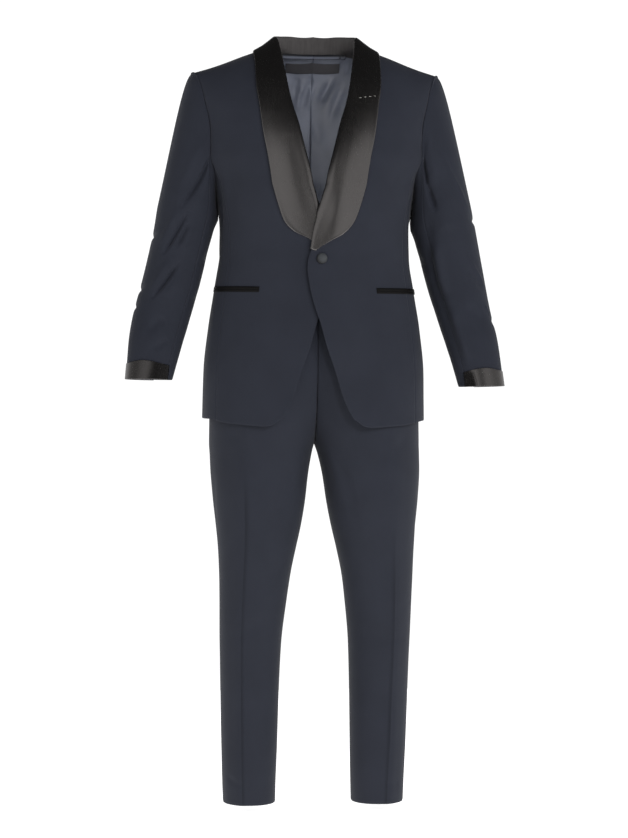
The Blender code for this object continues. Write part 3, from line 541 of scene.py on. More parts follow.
def folds(rows, x, y, units=(1, 1)):
    """How far rows of folds raise the cloth at places x and y, whose units are given in metres.

    Each row is a soft ridge (height above 0) or trough (below 0) from one place to another,
    with its half width and the bow of its middle.
    """
    rise = np.zeros(np.broadcast(x, y).shape)
    x, y = x * units[0], y * units[1]
    for start_x, start_y, end_x, end_y, width, height, bow in rows:
        start_x, end_x = start_x * units[0], end_x * units[0]
        start_y, end_y = start_y * units[1], end_y * units[1]
        run = math.hypot(end_x - start_x, end_y - start_y)
        ahead = ((end_x - start_x) / run, (end_y - start_y) / run)
        along = ((x - start_x) * ahead[0] + (y - start_y) * ahead[1]) / run
        t = np.clip(along, 0, 1)
        beside = (x - start_x) * ahead[1] - (y - start_y) * ahead[0] - bow * 4 * t * (1 - t)
        over = (along - t) * run
        swell = FOLD_ENDS + (1 - FOLD_ENDS) * ease(np.clip(np.minimum(t, 1 - t) * FOLD_RUN, 0, 1))
        rise += height * swell * np.exp(-(beside**2 + over**2) / width**2)
    return rise


# ---------------------------------------------------------------- making a sheet of cloth

EDGE_STEPS = (0.0007, 0.0015, 0.0026, 0.0042)  # lines of the grid beside each edge
EDGE_SHARE = 0.3  # which take up less than this share of a sheet
EDGE_CLEAR = 1.3  # the even lines start at the last of them times this
SEAM = (0.0006, 0.0016)  # depth and reach of the cloth's turn at a plain seam
DEEP_SEAM = (0.0026, 0.0048)  # and where a sleeve is set in
CUFF_EDGE = (0.0008, 0.0015)
COLLAR_EDGE = (0.0009, 0.0014)
LINING_EDGE = (0.0006, 0.0015)
LABEL_EDGE = (0.0003, 0.0008)
LOOP_EDGE = (0.0006, 0.0012)
JET_EDGE = (0.0005, 0.0010)
LOOSE = (0.0, 1.0)  # an edge that doesn't turn in
LOOSE_TOP = {"top": LOOSE}
LOOSE_FOOT = {"bottom": LOOSE}
LOOSE_BOTH = LOOSE_TOP | LOOSE_FOOT
SET_IN = {"top": DEEP_SEAM}
STEP = 0.0036  # between the lines of a plain grid
JET = 0.0055  # width of a pocket jet
SHEETS = {
    # Each kind of sheet: as it is cut, flat (width, length and area); its grid (width, length and
    # step); the turn of its edges, and of those that turn otherwise; and how it is held.
    "wool_front": ((0.27, 0.79, 0.152), (0.25, 0.78, STEP), SEAM, {}, "hung"),
    "wool_side": ((0.16, 0.50, 0.069), (0.14, 0.49, STEP), SEAM, {}, "hung"),
    "wool_back": ((0.26, 0.80, 0.166), (0.25, 0.79, STEP), SEAM, {}, "hung"),
    "sleeve_top": ((0.25, 0.66, 0.134), (0.24, 0.60, 0.0019), SEAM, SET_IN, "hung"),
    "sleeve_below": ((0.15, 0.55, 0.054), (0.13, 0.60, 0.0030), SEAM, SET_IN, "hung"),
    "satin_cuff": ((0.17, 0.038, None), (0.17, 0.038, 0.0025), CUFF_EDGE, LOOSE_BOTH, "folded"),
    "satin_collar": ((0.13, 0.62, 0.048), (0.098, 0.60, 0.0026), COLLAR_EDGE, LOOSE_FOOT, "folded"),
    "lining": ((0.24, 0.46, 0.087), (0.23, 0.45, 0.004), LINING_EDGE, {}, "hung"),
    "label_blank": ((0.112, 0.030, None), (0.112, 0.021, 0.003), LABEL_EDGE, {}, "laid"),
    "loop_for_hanging": ((0.132, 0.015, None), (0.132, 0.012, 0.0016), LOOP_EDGE, {}, "folded"),
    "jet_upper": ((0.140, 0.0125, 0.0012), (0.155, JET, 0.0022), JET_EDGE, LOOSE_FOOT, "folded"),
    "jet_lower": ((0.140, 0.0125, 0.0012), (0.155, JET, 0.0022), JET_EDGE, LOOSE_TOP, "folded"),
    "leg_front": ((0.31, 1.03, 0.249), (0.20, 1.02, STEP), SEAM, {}, "hung"),
    "leg_back": ((0.33, 1.03, 0.259), (0.20, 1.02, STEP), SEAM, {}, "hung"),
    "band": ((0.44, 0.040, None), (0.40, 0.040, STEP), SEAM, {}, "hung"),
    "shield_behind_fly": ((0.044, 0.19, 0.0075), (0.044, 0.189, STEP), SEAM, {}, "hung"),
}


def spread(length, step):
    """Shares along an edge of this length, a step apart, and closer beside its two ends."""
    even = np.linspace(0, 1, max(2, round(length / step)) + 1)
    near = np.array([place / length for place in EDGE_STEPS if place < EDGE_SHARE * length])
    inner = even[(even > near[-1] * EDGE_CLEAR) & (even < 1 - near[-1] * EDGE_CLEAR)]
    return np.concatenate(((0,), near, inner, 1 - near[::-1], (1,)))


def gaps(points, axis):
    """Distances along the grid's lines from their start, in metres."""
    steps = np.linalg.norm(np.diff(points, axis=axis), axis=-1)
    total = np.cumsum(steps, axis=axis)
    return np.concatenate((np.zeros_like(np.take(total, [0], axis)), total), axis)


def mesh_of(bm, name):
    mesh = bpy.data.meshes.new(name)
    bm.to_mesh(mesh)
    bm.free()
    mesh.shade_smooth()
    return mesh


def sheet_of_cloth(name, lay, grid, turning, others):
    """Lays a flat grid on its form. lay takes shares u and v and gives points and outward directions.

    grid is the sheet's width and length and the step between its lines. The cloth turns in at
    its edges, as it does at a seam or a pressed fold, by the depth and reach in turning, or by
    those that others gives for an edge.
    """
    width, length, step = grid
    u_line, v_line = spread(width, step), spread(length, step)
    v, u = np.meshgrid(v_line, u_line, indexing="ij")
    points, outward = lay(u, v)
    across, along = gaps(points, 1), gaps(points, 0)
    edges = {
        "start": across,
        "end": across[:, -1:] - across,
        "bottom": along,
        "top": along[-1:] - along,
    }
    for edge, inward in edges.items():
        depth, reach = others.get(edge, turning)
        points = points - outward * (depth * np.exp(-((inward / reach) ** 2)))[..., None]
    rows, columns = len(v_line) - 1, len(u_line) - 1
    bm = bmesh.new()
    bmesh.ops.create_grid(bm, x_segments=columns, y_segments=rows, size=0.5)
    bm.verts.ensure_lookup_table()
    flat = np.array([(vert.co.y, vert.co.x) for vert in bm.verts]) + 0.5
    row, column = np.rint(flat * (rows, columns)).astype(int).T
    for vert, place in zip(bm.verts, points[row, column]):
        vert.co = place
    bm.normal_update()
    bm.faces.ensure_lookup_table()
    face = bm.faces[len(bm.faces) // 2]
    corner = face.verts[0].index
    if face.normal.dot(outward[row[corner], column[corner]].tolist()) < 0:
        bmesh.ops.reverse_faces(bm, faces=bm.faces[:])
    mesh = mesh_of(bm, name)
    corners = np.empty(len(mesh.loops), int)
    mesh.loops.foreach_get("vertex_index", corners)
    measures = {"tape": np.stack((across, along), -1), "place": np.stack((u, v), -1)}
    for layer, measure in measures.items():
        values = measure[row, column][corners].astype(np.float32).ravel()
        mesh.uv_layers.new(name=layer).uv.foreach_set("vector", values)
    return mesh


def dress(mesh, node, finish_name):
    """Makes a piece of its mesh and hides the solid that it stands for, where there is one."""
    piece = bpy.data.objects.new(mesh.name, mesh)
    bpy.context.scene.collection.objects.link(piece)
    mesh.materials.append(material_of(finish_name))
    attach(piece, "root")
    if node:
        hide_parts(node)
    return piece


def sew(name, lay, node, finish_name, thickness, lined=False):
    """Makes a sheet of cloth and thickens it inwards.

    A lined sheet shows the lining's cloth on its inner face.
    """
    cut, grid, turning, others, held = SHEETS[name.removesuffix("_left").removesuffix("_right")]
    piece = dress(sheet_of_cloth(name, lay, grid, turning, others), node, finish_name)
    wall = piece.modifiers.new("wall", "SOLIDIFY")
    wall.thickness = thickness
    wall.offset = -1
    wall.use_even_offset = False
    if lined:
        piece.data.materials.append(material_of("blue_grey_twill"))
        wall.material_offset = 1
    return piece


# ---------------------------------------------------------------- finishes, with their sizes in metres

TWILL_PITCH = 0.0012  # from one rib of a weave to the next
YARN_PITCH = 0.0008
FLOAT_PITCH = 0.0005
LINING_PITCH = 0.0007
CREASE_SHADE_INNER = 0.016  # painted shade reaches this far on a pressed crease's inner side
CREASE_SHADE_OUTER = 0.0022  # and this far on its outer side
CREASE_SHADE_TONE = 0.74  # share of the wool's colour left on the crease line by the painted shade
SATIN_TINT = (1.0, 0.945, 0.93, 1.0)


class Value:
    """A number or colour that varies over a cloth: a node's output that sums can be written with."""

    def __init__(self, finish, socket):
        self.finish = finish
        self.socket = socket

    def sum_with(self, operation, *terms):
        return self.finish.node("ShaderNodeMath", {"operation": operation}, dict(enumerate(terms)))

    def __add__(self, other):
        return self.sum_with("ADD", self, other)

    def __sub__(self, other):
        return self.sum_with("SUBTRACT", self, other)

    def __rsub__(self, other):
        return self.sum_with("SUBTRACT", other, self)

    def __mul__(self, other):
        return self.sum_with("MULTIPLY", self, other)

    def __pow__(self, other):
        return self.sum_with("POWER", self, other)

    __radd__ = __add__
    __rmul__ = __mul__

    def ribs(self, pitch):
        """Even ribs between -1 and 1, one to each pitch."""
        return self.sum_with("SINE", self * (TAU / pitch))

    def between(self, low, high):
        """0 below low, 1 above high, and eased between them."""
        ends = {"Value": self, "From Min": low, "From Max": high}
        return self.finish.node("ShaderNodeMapRange", {"interpolation_type": "SMOOTHSTEP"}, ends)


class Nodes:
    """A node tree and its shader."""

    def __init__(self, tree, shader):
        self.tree = tree
        self.shader = shader

    def node(self, kind, settings, inputs, output=0):
        """Any node: its type, its settings, and the values or links of its sockets."""
        made = self.tree.nodes.new(kind)
        for setting, choice in settings.items():
            setattr(made, setting, choice)
        for socket, value in inputs.items():
            if isinstance(value, Value):
                self.tree.links.new(value.socket, made.inputs[socket])
            else:
                made.inputs[socket].default_value = value
        return Value(self, made.outputs[output])

    def blend(self, factor, one, other):
        """One colour, turning into the other as factor goes from 0 to 1."""
        return self.node("ShaderNodeMix", {"data_type": "RGBA"}, {0: factor, 6: one, 7: other}, 2)

    def parts(self, place, axes=(0, 1)):
        """The numbers that make up a place."""
        return [self.node("ShaderNodeSeparateXYZ", {}, {0: place}, axis) for axis in axes]

    def give(self, socket, value):
        self.tree.links.new(value.socket, self.shader.inputs[socket])


class Finish(Nodes):
    """A cloth's material: its shader, the constants set on it, and what varies over the surface."""

    def __init__(self, name, **constants):
        self.material = bpy.data.materials.new(name)
        self.material.use_nodes = True
        tree = self.material.node_tree
        super().__init__(tree, tree.nodes["Principled BSDF"])
        for socket, amount in constants.items():
            label = socket.replace("_", " ").title().replace("Ior", "IOR")
            self.shader.inputs[label].default_value = amount

    def measure(self, layer):
        """The two numbers that a piece's UV map holds: in tape, the metres across and along it."""
        return self.parts(self.node("ShaderNodeUVMap", {"uv_map": layer}, {}))

    def shades(self, colour, tone, dark, light):
        """A colour that goes from its dark to its light shade as tone goes from 0 to 1."""
        return self.blend(tone, shade(colour, dark), shade(colour, light))

    def noise(self, size, detail=2.0, stretch=(1, 1, 1)):
        """Cloudy variation about 0.5, with patches of this size in metres."""
        place = self.node("ShaderNodeTexCoord", {}, {}, "Object")
        place = self.node("ShaderNodeMapping", {}, {"Vector": place, "Scale": stretch})
        inputs = {"Vector": place, "Scale": 1 / size, "Detail": detail}
        return self.node("ShaderNodeTexNoise", {}, inputs)

    def raise_by(self, height):
        """Bumps the surface by a height in metres."""
        bump = {"Height": height, "Distance": 1.0, "Strength": 1.0}
        self.give("Normal", self.node("ShaderNodeBump", {}, bump))


def grey(tone):
    return (tone, tone, tone, 1)


def shade(colour, by):
    """A colour made lighter or darker."""
    return (*(part * by for part in colour), 1)


def wool(name, colour, roughness, creased=False):
    """Fine navy worsted: a close twill, a soft matte face and the faint clouding of pressed wool."""
    finish = Finish(name, sheen_weight=0.05, sheen_roughness=0.45, specular_ior_level=0.20)
    across, along = finish.measure("tape")
    rib = (across + along).ribs(TWILL_PITCH)
    yarn = (across - along).ribs(YARN_PITCH)
    specks = finish.noise(0.0016, 1.0)
    clouds = finish.noise(0.070, 3.0)
    tone = 0.62 * clouds + 0.30 * specks + 0.04 * rib + 0.04
    face = finish.shades(colour, tone.between(0.30, 0.70), dark=0.93, light=1.07)
    # painted shade along the pressed creases: darkest on their line, and reaching further on the inner
    # side
    if creased:
        beside, pressed = finish.measure("crease")
        inner, outer = beside.between(-CREASE_SHADE_INNER, 0.0), beside.between(0.0, CREASE_SHADE_OUTER)
        line = inner**2 * (1 - outer) * pressed
        face = finish.blend(line, face, shade(colour, CREASE_SHADE_TONE))
    finish.give("Base Color", face)
    finish.give("Roughness", roughness + 0.08 * (specks - 0.5))
    crush = finish.noise(0.030, 2.0)
    finish.raise_by(0.000010 * rib + 0.000006 * yarn + 0.00022 * crush + 0.00002 * specks)
    return finish.material


def crease_shaded_wool(name, colour, roughness):
    """The same wool on the legs, with painted shade along the pressed creases."""
    return wool(name, colour, roughness, creased=True)


def satin(name, colour, roughness):
    """Black silk satin: long floats along the piece, a clear gloss and a faint watering."""
    finish = Finish(name, ior=1.7, specular_ior_level=0.92, anisotropic=0.2, specular_tint=SATIN_TINT)
    across, _ = finish.measure("tape")
    floats = across.ribs(FLOAT_PITCH)
    streaks = finish.noise(0.006, 2.0, (1, 1, 0.12))
    clouds = finish.noise(0.050, 2.0)
    tone = (0.6 * clouds + 0.4 * streaks).between(0.30, 0.70)
    finish.give("Base Color", finish.shades(colour, tone, dark=0.85, light=1.18))
    finish.give("Roughness", roughness + 0.04 * (streaks - 0.5) + 0.04 * (clouds - 0.5))
    finish.raise_by(0.0000015 * floats + 0.00012 * clouds + 0.000002 * streaks)
    return finish.material


def dull_satin(name, colour, roughness):
    """The same silk laid dull side out, as on the inside of the collar's stand."""
    finish = Finish(name, specular_ior_level=0.15)
    streaks = finish.noise(0.0035, 2.0, (1, 1, 0.08))
    clouds = finish.noise(0.015, 2.0)
    tone = (0.7 * streaks + 0.3 * clouds).between(0.25, 0.75)
    finish.give("Base Color", finish.shades(colour, tone, dark=0.84, light=1.16))
    finish.give("Roughness", roughness + 0.08 * (streaks - 0.5))
    finish.raise_by(0.00006 * clouds + 0.00001 * streaks)
    return finish.material


def satin_with_painted_light(name, colour, roughness):
    """The button's dull silk, with a painted highlight on its crown and painted shade towards its rim.
    """
    finish = Finish(name, specular_ior_level=0.3)
    place = finish.node("ShaderNodeTexCoord", {}, {}, "Object")
    aside, up = (part - crown for part, crown in zip(finish.parts(place, "XZ"), BUTTON_PAINTED_HIGHLIGHT))
    rim_painted_shade = (aside * aside + up * up).between(*BUTTON_PAINTED_FADE)
    # painted highlight on the crown, turning to painted shade towards the rim
    finish.give("Base Color", finish.blend(rim_painted_shade, shade(colour, 1.2), shade(colour, 0.08)))
    finish.give("Roughness", roughness + 0.1 * (finish.noise(0.002) - 0.5))
    return finish.material


def edging(name, colour, roughness):
    """The same silk, cut on the cross for narrow edgings: ribbed, and hardly glossy."""
    finish = Finish(name, specular_ior_level=0.15)
    across, along = finish.measure("tape")
    rib = (across + along).ribs(TWILL_PITCH)
    clouds = finish.noise(0.020, 2.0)
    finish.give("Base Color", finish.shades(colour, clouds, dark=0.9, light=1.3))
    finish.give("Roughness", roughness + 0.1 * (clouds - 0.5))
    finish.raise_by(0.000008 * rib + 0.00010 * clouds)
    return finish.material


def lining_cloth(name, colour, roughness):
    """Blue-grey lining: a thin twill with a silky sheen and small crumples."""
    finish = Finish(name, specular_ior_level=0.85, sheen_weight=0.10, sheen_roughness=0.4)
    across, along = finish.measure("tape")
    rib = (across - along).ribs(LINING_PITCH)
    crumple = finish.noise(0.018, 2.0)
    clouds = finish.noise(0.060, 3.0)
    tone = (0.8 * clouds + 0.2 * crumple).between(0.30, 0.70)
    finish.give("Base Color", finish.shades(colour, tone, dark=0.86, light=1.14))
    finish.give("Roughness", roughness + 0.12 * (clouds - 0.5))
    finish.raise_by(0.000005 * rib + 0.00025 * crumple)
    return finish.material


def loop_cloth(name, colour, roughness):
    """The lining's cloth folded to a narrow strip, with painted shade along its long edges and at its
    tack.
    """
    finish = Finish(name, specular_ior_level=0.5)
    along, across = finish.measure("place")
    # painted shade along the strip's long edges, where they turn under
    under = ((across - 0.5) * (across - 0.5)).between(0.02, 0.12)
    # painted shade across the strip where it is pinched and tacked down
    tack_painted_shade = ((along - TACK_SHARE) * (along - TACK_SHARE)).between(0.0, 0.0002)
    clouds = finish.noise(0.012, 2.0)
    face = finish.shades(colour, clouds, dark=0.85, light=1.15)
    face = finish.blend(under, face, shade(colour, 0.12))
    finish.give("Base Color", finish.blend(tack_painted_shade, shade(colour, 0.12), face))
    finish.give("Roughness", roughness + 0.1 * (clouds - 0.5))
    finish.raise_by(0.0001 * clouds)
    return finish.material


def thread(name, colour, roughness):
    """Twisted silk thread."""
    finish = Finish(name, sheen_weight=0.2)
    twist = finish.noise(0.0006, 1.0)
    finish.give("Base Color", finish.shades(colour, twist, dark=0.75, light=1.2))
    finish.give("Roughness", roughness + 0.2 * (twist - 0.5))
    return finish.material


def matte_paint(name, colour, roughness):
    """The studio floor's pale, slightly uneven paint."""
    finish = Finish(name, specular_ior_level=0.2, emission_strength=0.9)
    clouds = finish.noise(0.40, 2.0)
    finish.give("Base Color", finish.shades(colour, clouds, dark=0.985, light=1.0))
    finish.give("Roughness", roughness + 0.05 * (clouds - 0.5))
    return finish.material


# ---------------------------------------------------------------- small pieces

SCOOP_TOP = -0.10  # rows above this level follow the armhole's scoop under the arm
SCOOP_SQUARE = 2.2  # how square the scoop is
NECK_FALL = 0.10  # rows above this level sink with the back neck seam
EDGE_BEAD = 0.0010  # rise of the bead along the collar's outer edge
EDGE_BEAD_REACH = 0.045  # share across the collar that it takes up
BEAD_START = (0.58, 0.70)  # along the collar, where the edge's bead starts and is full
LINING_TOP_OFF = -0.0036  # the lining's outer face at the neck seam, inside the backs
LINING_OFF = -0.0060  # and lower down
LINING_DROP = 0.10  # share of its length over which it sinks in
LINING_FOOT = 0.80  # way of the lining's lower edge, hidden by the fronts
LINING_TURN = math.radians(56)  # turn across of its outer edge
LINING_RIDGE = 0.0135  # at the sides of the neck it stops this far behind the shoulder seam
LINING_SEAM = 0.0015  # and at the centre this far below the neck seam
LINING_THICKNESS = 0.0010  # room left for its cloth
LABEL = {"half": 0.056, "way": 0.430, "depth": 0.030, "bow": 0.010, "off": 0.0022}  # way of its top
LOOP = {"start": -0.065, "end": 0.067, "off": 0.0009, "lean": 0.007, "puff": 0.0022}
PINCH = {"half": 0.0022, "narrow": 0.22, "flat": 0.8}  # where the loop is stitched down
KNOB = {"rise": 0.0016, "beyond": 0.0062, "half": 0.0040, "across": 0.8}  # and where it puffs out
LOOP_LINE = Table(  # the loop's middle line and its half width
    "out way half",
    (0.000, 0.4045, 0.0042),
    (0.015, 0.4000, 0.0044),
    (0.030, 0.3953, 0.0050),
    (0.045, 0.3902, 0.0058),
    (0.0585, 0.3847, 0.0064),
    (0.067, 0.3805, 0.0064),
)
LOOP_TACK = 0.0555  # the loop is stitched down here, and its end puffs out beyond
TACK_SHARE = (LOOP_TACK - LOOP["start"]) / (LOOP["end"] - LOOP["start"])
STAND_SHARE = 0.37  # the stand's inside ends here across the collar
STAND_END = 0.38  # and here along it
HEAD_RISE = 0.0034  # how far the sleeve head stands up beside its seam
HEAD_REACH = 0.012  # and over what share of the sleeve's length
HEAD_ALLOWANCE = 0.018  # share of its length that is sewn in past the seam
HEAD_AHEAD = 0.02  # share of its length over which its direction at the seam is read
HEAD_ONWARD = 0.5  # how much of that direction the allowance follows as it turns inwards
CUFF_OFF = 0.0022  # the cuff's outer face stands this far off the sleeve's
CUFF_FLARE = -0.0006  # its upper edge stands off this much more on the outer side
CUFF_KICK = {RIGHT: 0.0065, LEFT: 0.0100}  # and its lower edge at the inner end
CUFF_KICK_END = {RIGHT: (0.12, 0.22), LEFT: (0.085, 0.115)}  # which is full up to here, and gone here
CUFF_LOW = 0.052  # share of the sleeve's length that it covers at the back
CUFF_ARCH = 0.015  # and this much more at its crown
CUFF_CROWN = {RIGHT: 0.25, LEFT: 0.22}  # share across the cuff where the crown is
CUFF_SPREAD = 0.17  # and the share that it spreads over
POCKET_WAY = -0.2035  # top of the upper jet at its front end
POCKET_SLOPE = 0.004  # the pocket rises this much towards the side
POCKET_START = 31.0  # turn across at the front end
POCKET_END = 86.0
JET_OFF = 0.0018  # a jet's outer face stands this far off the front's
JET_PUFF = 0.0002
BUTTON_OUT = 0.0055  # place of the button's middle
BUTTON_WAY = -0.148
BUTTON_RADIUS = 0.0107
BUTTON_HEIGHT = 0.0058
BUTTON_SEAT = 0.0003  # its back stands this far off the cloth
BUTTON_RIM = ((0, 0), (0.6, 0), (0.90, 0.06), (0.98, 0.18))  # shares of its radius and height
DOME_FOOT = 0.30  # share of its height where the dome starts
DOME_POINTS = 14
BUTTON_STEPS = 32
BUTTON_WELD = 0.00002
BUTTON_PAINTED_HIGHLIGHT = (0.0073, -0.4076)  # out and height of the centre of the painted highlight on the dome
BUTTON_PAINTED_FADE = (0.000009, 0.000170)  # squares of its distances where the painted highlight starts to fade into painted shade, and where that shade is full
STITCHES = (  # share across the lapel, and along the collar
    (0.622, 0.5089),
    (0.703, 0.5062),
    (0.788, 0.5036),
    (0.880, 0.4996),
)
STITCH_HALF = 0.018  # half the length of a stitch, as a share across the lapel
STITCH_RISE = 0.0007
STITCH_SINK = 0.2  # turn of a stitch's arch that is sunk in the silk at each end
STITCH_RADIUS = 0.0004
STITCH_POINTS = 7
STITCH_SIDES = 6
LABEL_THICKNESS = 0.0006
LOOP_THICKNESS = 0.0012
JET_THICKNESS = 0.0010
BAND_OFF = 0.001  # the waistband's outer face stands this far off the trousers'
BAND_THICKNESS = 0.0025  # two layers
FLY_END = -0.668  # foot of the shield behind the fly
FLY_TOP = -0.479
FLY_HALF = 0.022
FLY_TAPER = ((0, 0.15, 1), (0.35, 0.8, 1))  # shares of its height, and of its width there
FLY_OFF = 0.0045  # it lies this far inside the trousers
FLOOR = -1.515
FLOOR_HALF = 2  # half the floor's width
FLOOR_ROUGHNESS = 0.9
CAMERA_PLACE = (-0.353, -4.486, -0.725)
CAMERA_TURN = math.radians(4.5)
CAMERA_LENS = 95.7
CAMERA_SENSOR = 36
CAMERA_REACH = 50
CEILING_EDGE = (0.19, 0.47)  # the walls turn into the ceiling between these heights of a direction
SCREEN_EDGE = (0.58, 0.82)  # and into the screen between these shares of its way ahead
BEHIND_EDGE = (0.10, 0.45)  # and into the wall behind between these shares of its way back
SIDE_EDGE = (0.15, 0.40)  # the side walls turn dark between these heights of a direction
SCREEN_GAP = 0.11  # the screen parts here, where the camera stands
SCREEN_GAP_EDGE = (0.0025, 0.0240)  # squares of its half width, where it is dark and where it ends
SIDES_LOW = 0.75  # brightness of the side walls low down
SIDES_HIGH = 0.08  # and higher up
BEHIND = 0.8  # of the wall behind
SCREEN = 0.80
BACKDROP = 1.1  # and of what the camera sees of the room
STAGE_LAMPS = (  # name, place, point it is turned to, width and height, share of the lamps' power
    ("soft_box_front", (1.4, -4.7, 0.9), (0, 0, -0.7), (0.7, 0.9), 2.1),
    ("soft_box_key", (2.6, -3.4, 1.0), (0, 0, -0.7), (1.0, 1.4), 1.3),
    ("soft_box_left", (-3.6, -1.2, 0.6), (0, 0, -0.7), (1.2, 2.4), 0.9),
    ("soft_box_right", (3.6, -1.0, 0.6), (0, 0, -0.7), (1.2, 2.4), 0.5),
    ("soft_box_behind_left", (-2.6, 3.2, 0.9), (0, 0, -0.7), (1.2, 1.8), 1.7),
    ("soft_box_behind_right", (3.4, 2.0, 0.4), (0, 0, -0.7), (1.2, 2.4), 0.6),
    ("neck_lamp", (0.035, -0.01, -0.13), (0.02, 0.26, -0.19), (0.05, 0.22), 0.0018),
)


def seat_at(place, ahead):
    """A matrix that turns +Z ahead and moves the origin to a place."""
    seat = Vector(ahead.tolist()).to_track_quat("Z", "Y").to_matrix().to_4x4()
    seat.translation = place.tolist()
    return seat


def swept(name, line, radius, sides):
    """A round strip drawn out along a line of points, closed at both ends."""
    ahead = np.gradient(line, axis=0)
    ahead /= np.linalg.norm(ahead, axis=1, keepdims=True)
    seats = [seat_at(place, way) for place, way in zip(line, ahead)]
    bm = bmesh.new()
    bmesh.ops.create_circle(bm, cap_ends=True, segments=sides, radius=radius, matrix=seats[0])
    end = bm.faces[:] + bm.edges[:]
    for seat, onward in zip(seats, seats[1:]):
        end = bmesh.ops.extrude_face_region(bm, geom=end)["geom"]
        corners = [part for part in end if isinstance(part, bmesh.types.BMVert)]
        bmesh.ops.transform(bm, matrix=onward @ seat.inverted(), verts=corners)
    bmesh.ops.recalc_face_normals(bm, faces=bm.faces[:])
    mesh = mesh_of(bm, name)
    mesh.uv_layers.new(name="tape")
    mesh.set_sharp_from_angle(angle=math.radians(50))
    return mesh


def covered_button():
    """A domed button covered in silk, turned about its own axis, on the left front above the waist."""
    across = turn_at(BUTTON_OUT, BUTTON_WAY)
    place, outward = on_body(LEFT, across, BUTTON_WAY, lap(across, BUTTON_WAY) + BUTTON_SEAT)
    arc = np.linspace(0, 1, DOME_POINTS) * math.pi / 2
    dome = np.stack((np.cos(arc), DOME_FOOT + (1 - DOME_FOOT) * np.sin(arc)), -1)
    profile = np.concatenate((BUTTON_RIM, dome)) * (BUTTON_RADIUS, BUTTON_HEIGHT)
    bm = bmesh.new()
    points = [bm.verts.new((radius, 0, height)) for radius, height in profile.tolist()]
    rim = [bm.edges.new(pair) for pair in zip(points, points[1:])]
    full = {"axis": (0, 0, 1), "angle": TAU, "steps": BUTTON_STEPS, "use_merge": True}
    bmesh.ops.spin(bm, geom=points + rim, cent=(0, 0, 0), **full)
    bmesh.ops.remove_doubles(bm, verts=bm.verts[:], dist=BUTTON_WELD)
    bmesh.ops.recalc_face_normals(bm, faces=bm.faces[:])
    bmesh.ops.transform(bm, matrix=seat_at(place, outward), verts=bm.verts[:])
    mesh = mesh_of(bm, "button_covered")
    mesh.uv_layers.new(name="tape")
    dress(mesh, "front_button", "black_silk_dome")


def lapel_stitches():
    """Four short hand stitches of pale silk across the left lapel."""
    arch = STITCH_RISE * np.sin(np.linspace(STITCH_SINK, math.pi - STITCH_SINK, STITCH_POINTS))
    for number, (share, along) in enumerate(STITCHES, 1):
        places = share + np.linspace(-STITCH_HALF, STITCH_HALF, STITCH_POINTS)
        u = (places + FACING_SHARE) / (1 + FACING_SHARE)
        points, outward = lay_collar(LEFT, u, np.full(STITCH_POINTS, along))
        line = points + outward * arch[:, None]
        mesh = swept(f"lapel_stitch_{number}", line, STITCH_RADIUS, STITCH_SIDES)
        dress(mesh, None, "pale_silk_thread")


def face_stand(mesh):
    """Gives the inside of the collar's stand and its facing their own finish."""
    mesh.materials.append(material_of("grey_silk_inside"))
    for face in mesh.polygons:
        corners = [mesh.uv_layers["place"].uv[loop].vector for loop in face.loop_indices]
        share = sum(corner[0] for corner in corners) / len(corners) * (1 + FACING_SHARE) - FACING_SHARE
        along = sum(corner[1] for corner in corners) / len(corners)
        face.material_index = int(share < STAND_SHARE and along < STAND_END)


def floor_sheet(colour):
    """A pale floor around the suit's place."""
    bm = bmesh.new()
    bmesh.ops.create_grid(bm, x_segments=8, y_segments=8, size=FLOOR_HALF)
    bmesh.ops.translate(bm, verts=bm.verts[:], vec=(0, 0, FLOOR))
    floor = bpy.data.objects.new("studio_floor", mesh_of(bm, "studio_floor"))
    bpy.context.scene.collection.objects.link(floor)
    floor.data.materials.append(matte_paint("studio_paint", colour, FLOOR_ROUGHNESS))


def world_light(strength, ceiling):
    """A broad white screen in front of the suit, a white wall behind, dim sides and a dark ceiling."""
    world = bpy.data.worlds.new("studio_room")
    world.use_nodes = True
    room = Nodes(world.node_tree, world.node_tree.nodes["Background"])
    look = room.node("ShaderNodeTexCoord", {}, {}, "Generated")
    aside, ahead, up = room.parts(look, "XYZ")
    parting = (aside - SCREEN_GAP) * (aside - SCREEN_GAP)
    screen = room.blend(parting.between(*SCREEN_GAP_EDGE), grey(SIDES_HIGH), grey(SCREEN))
    sides = room.blend(up.between(*SIDE_EDGE), grey(SIDES_LOW), grey(SIDES_HIGH))
    walls = room.blend((0 - ahead).between(*SCREEN_EDGE), sides, screen)
    walls = room.blend(ahead.between(*BEHIND_EDGE), walls, grey(BEHIND))
    room_colour = room.blend(up.between(*CEILING_EDGE), walls, grey(ceiling))
    seen = room.node("ShaderNodeLightPath", {}, {}, "Is Camera Ray")
    room.give("Color", room.blend(seen, room_colour, grey(BACKDROP)))
    room.shader.inputs["Strength"].default_value = strength
    bpy.context.scene.world = world


def soft_box(name, place, target, size, power):
    lamp = bpy.data.lights.new(name, "AREA")
    lamp.shape = "RECTANGLE"
    lamp.size, lamp.size_y = size
    lamp.energy = power
    box = bpy.data.objects.new(name, lamp)
    bpy.context.scene.collection.objects.link(box)
    box.location = place
    aim = Vector(target) - box.location
    box.rotation_euler = aim.to_track_quat("-Z", "Y").to_euler()
    box.visible_camera = False
    box.visible_glossy = False  # the satin mirrors the room alone, without the boxes' hard spots


# ---------------------------------------------------------------- how each piece lies

BODY_UNITS = (0.0035, 1.0)  # metres for a degree across and for a metre of way
SLEEVE_UNITS = (0.36, 0.58)  # for a turn around the sleeve and for its length
LEG_UNITS = (0.0017, 1.0)  # for a degree around the leg and a metre of height
COLLAR_UNITS = (0.055, 0.60)  # across the collar and along it

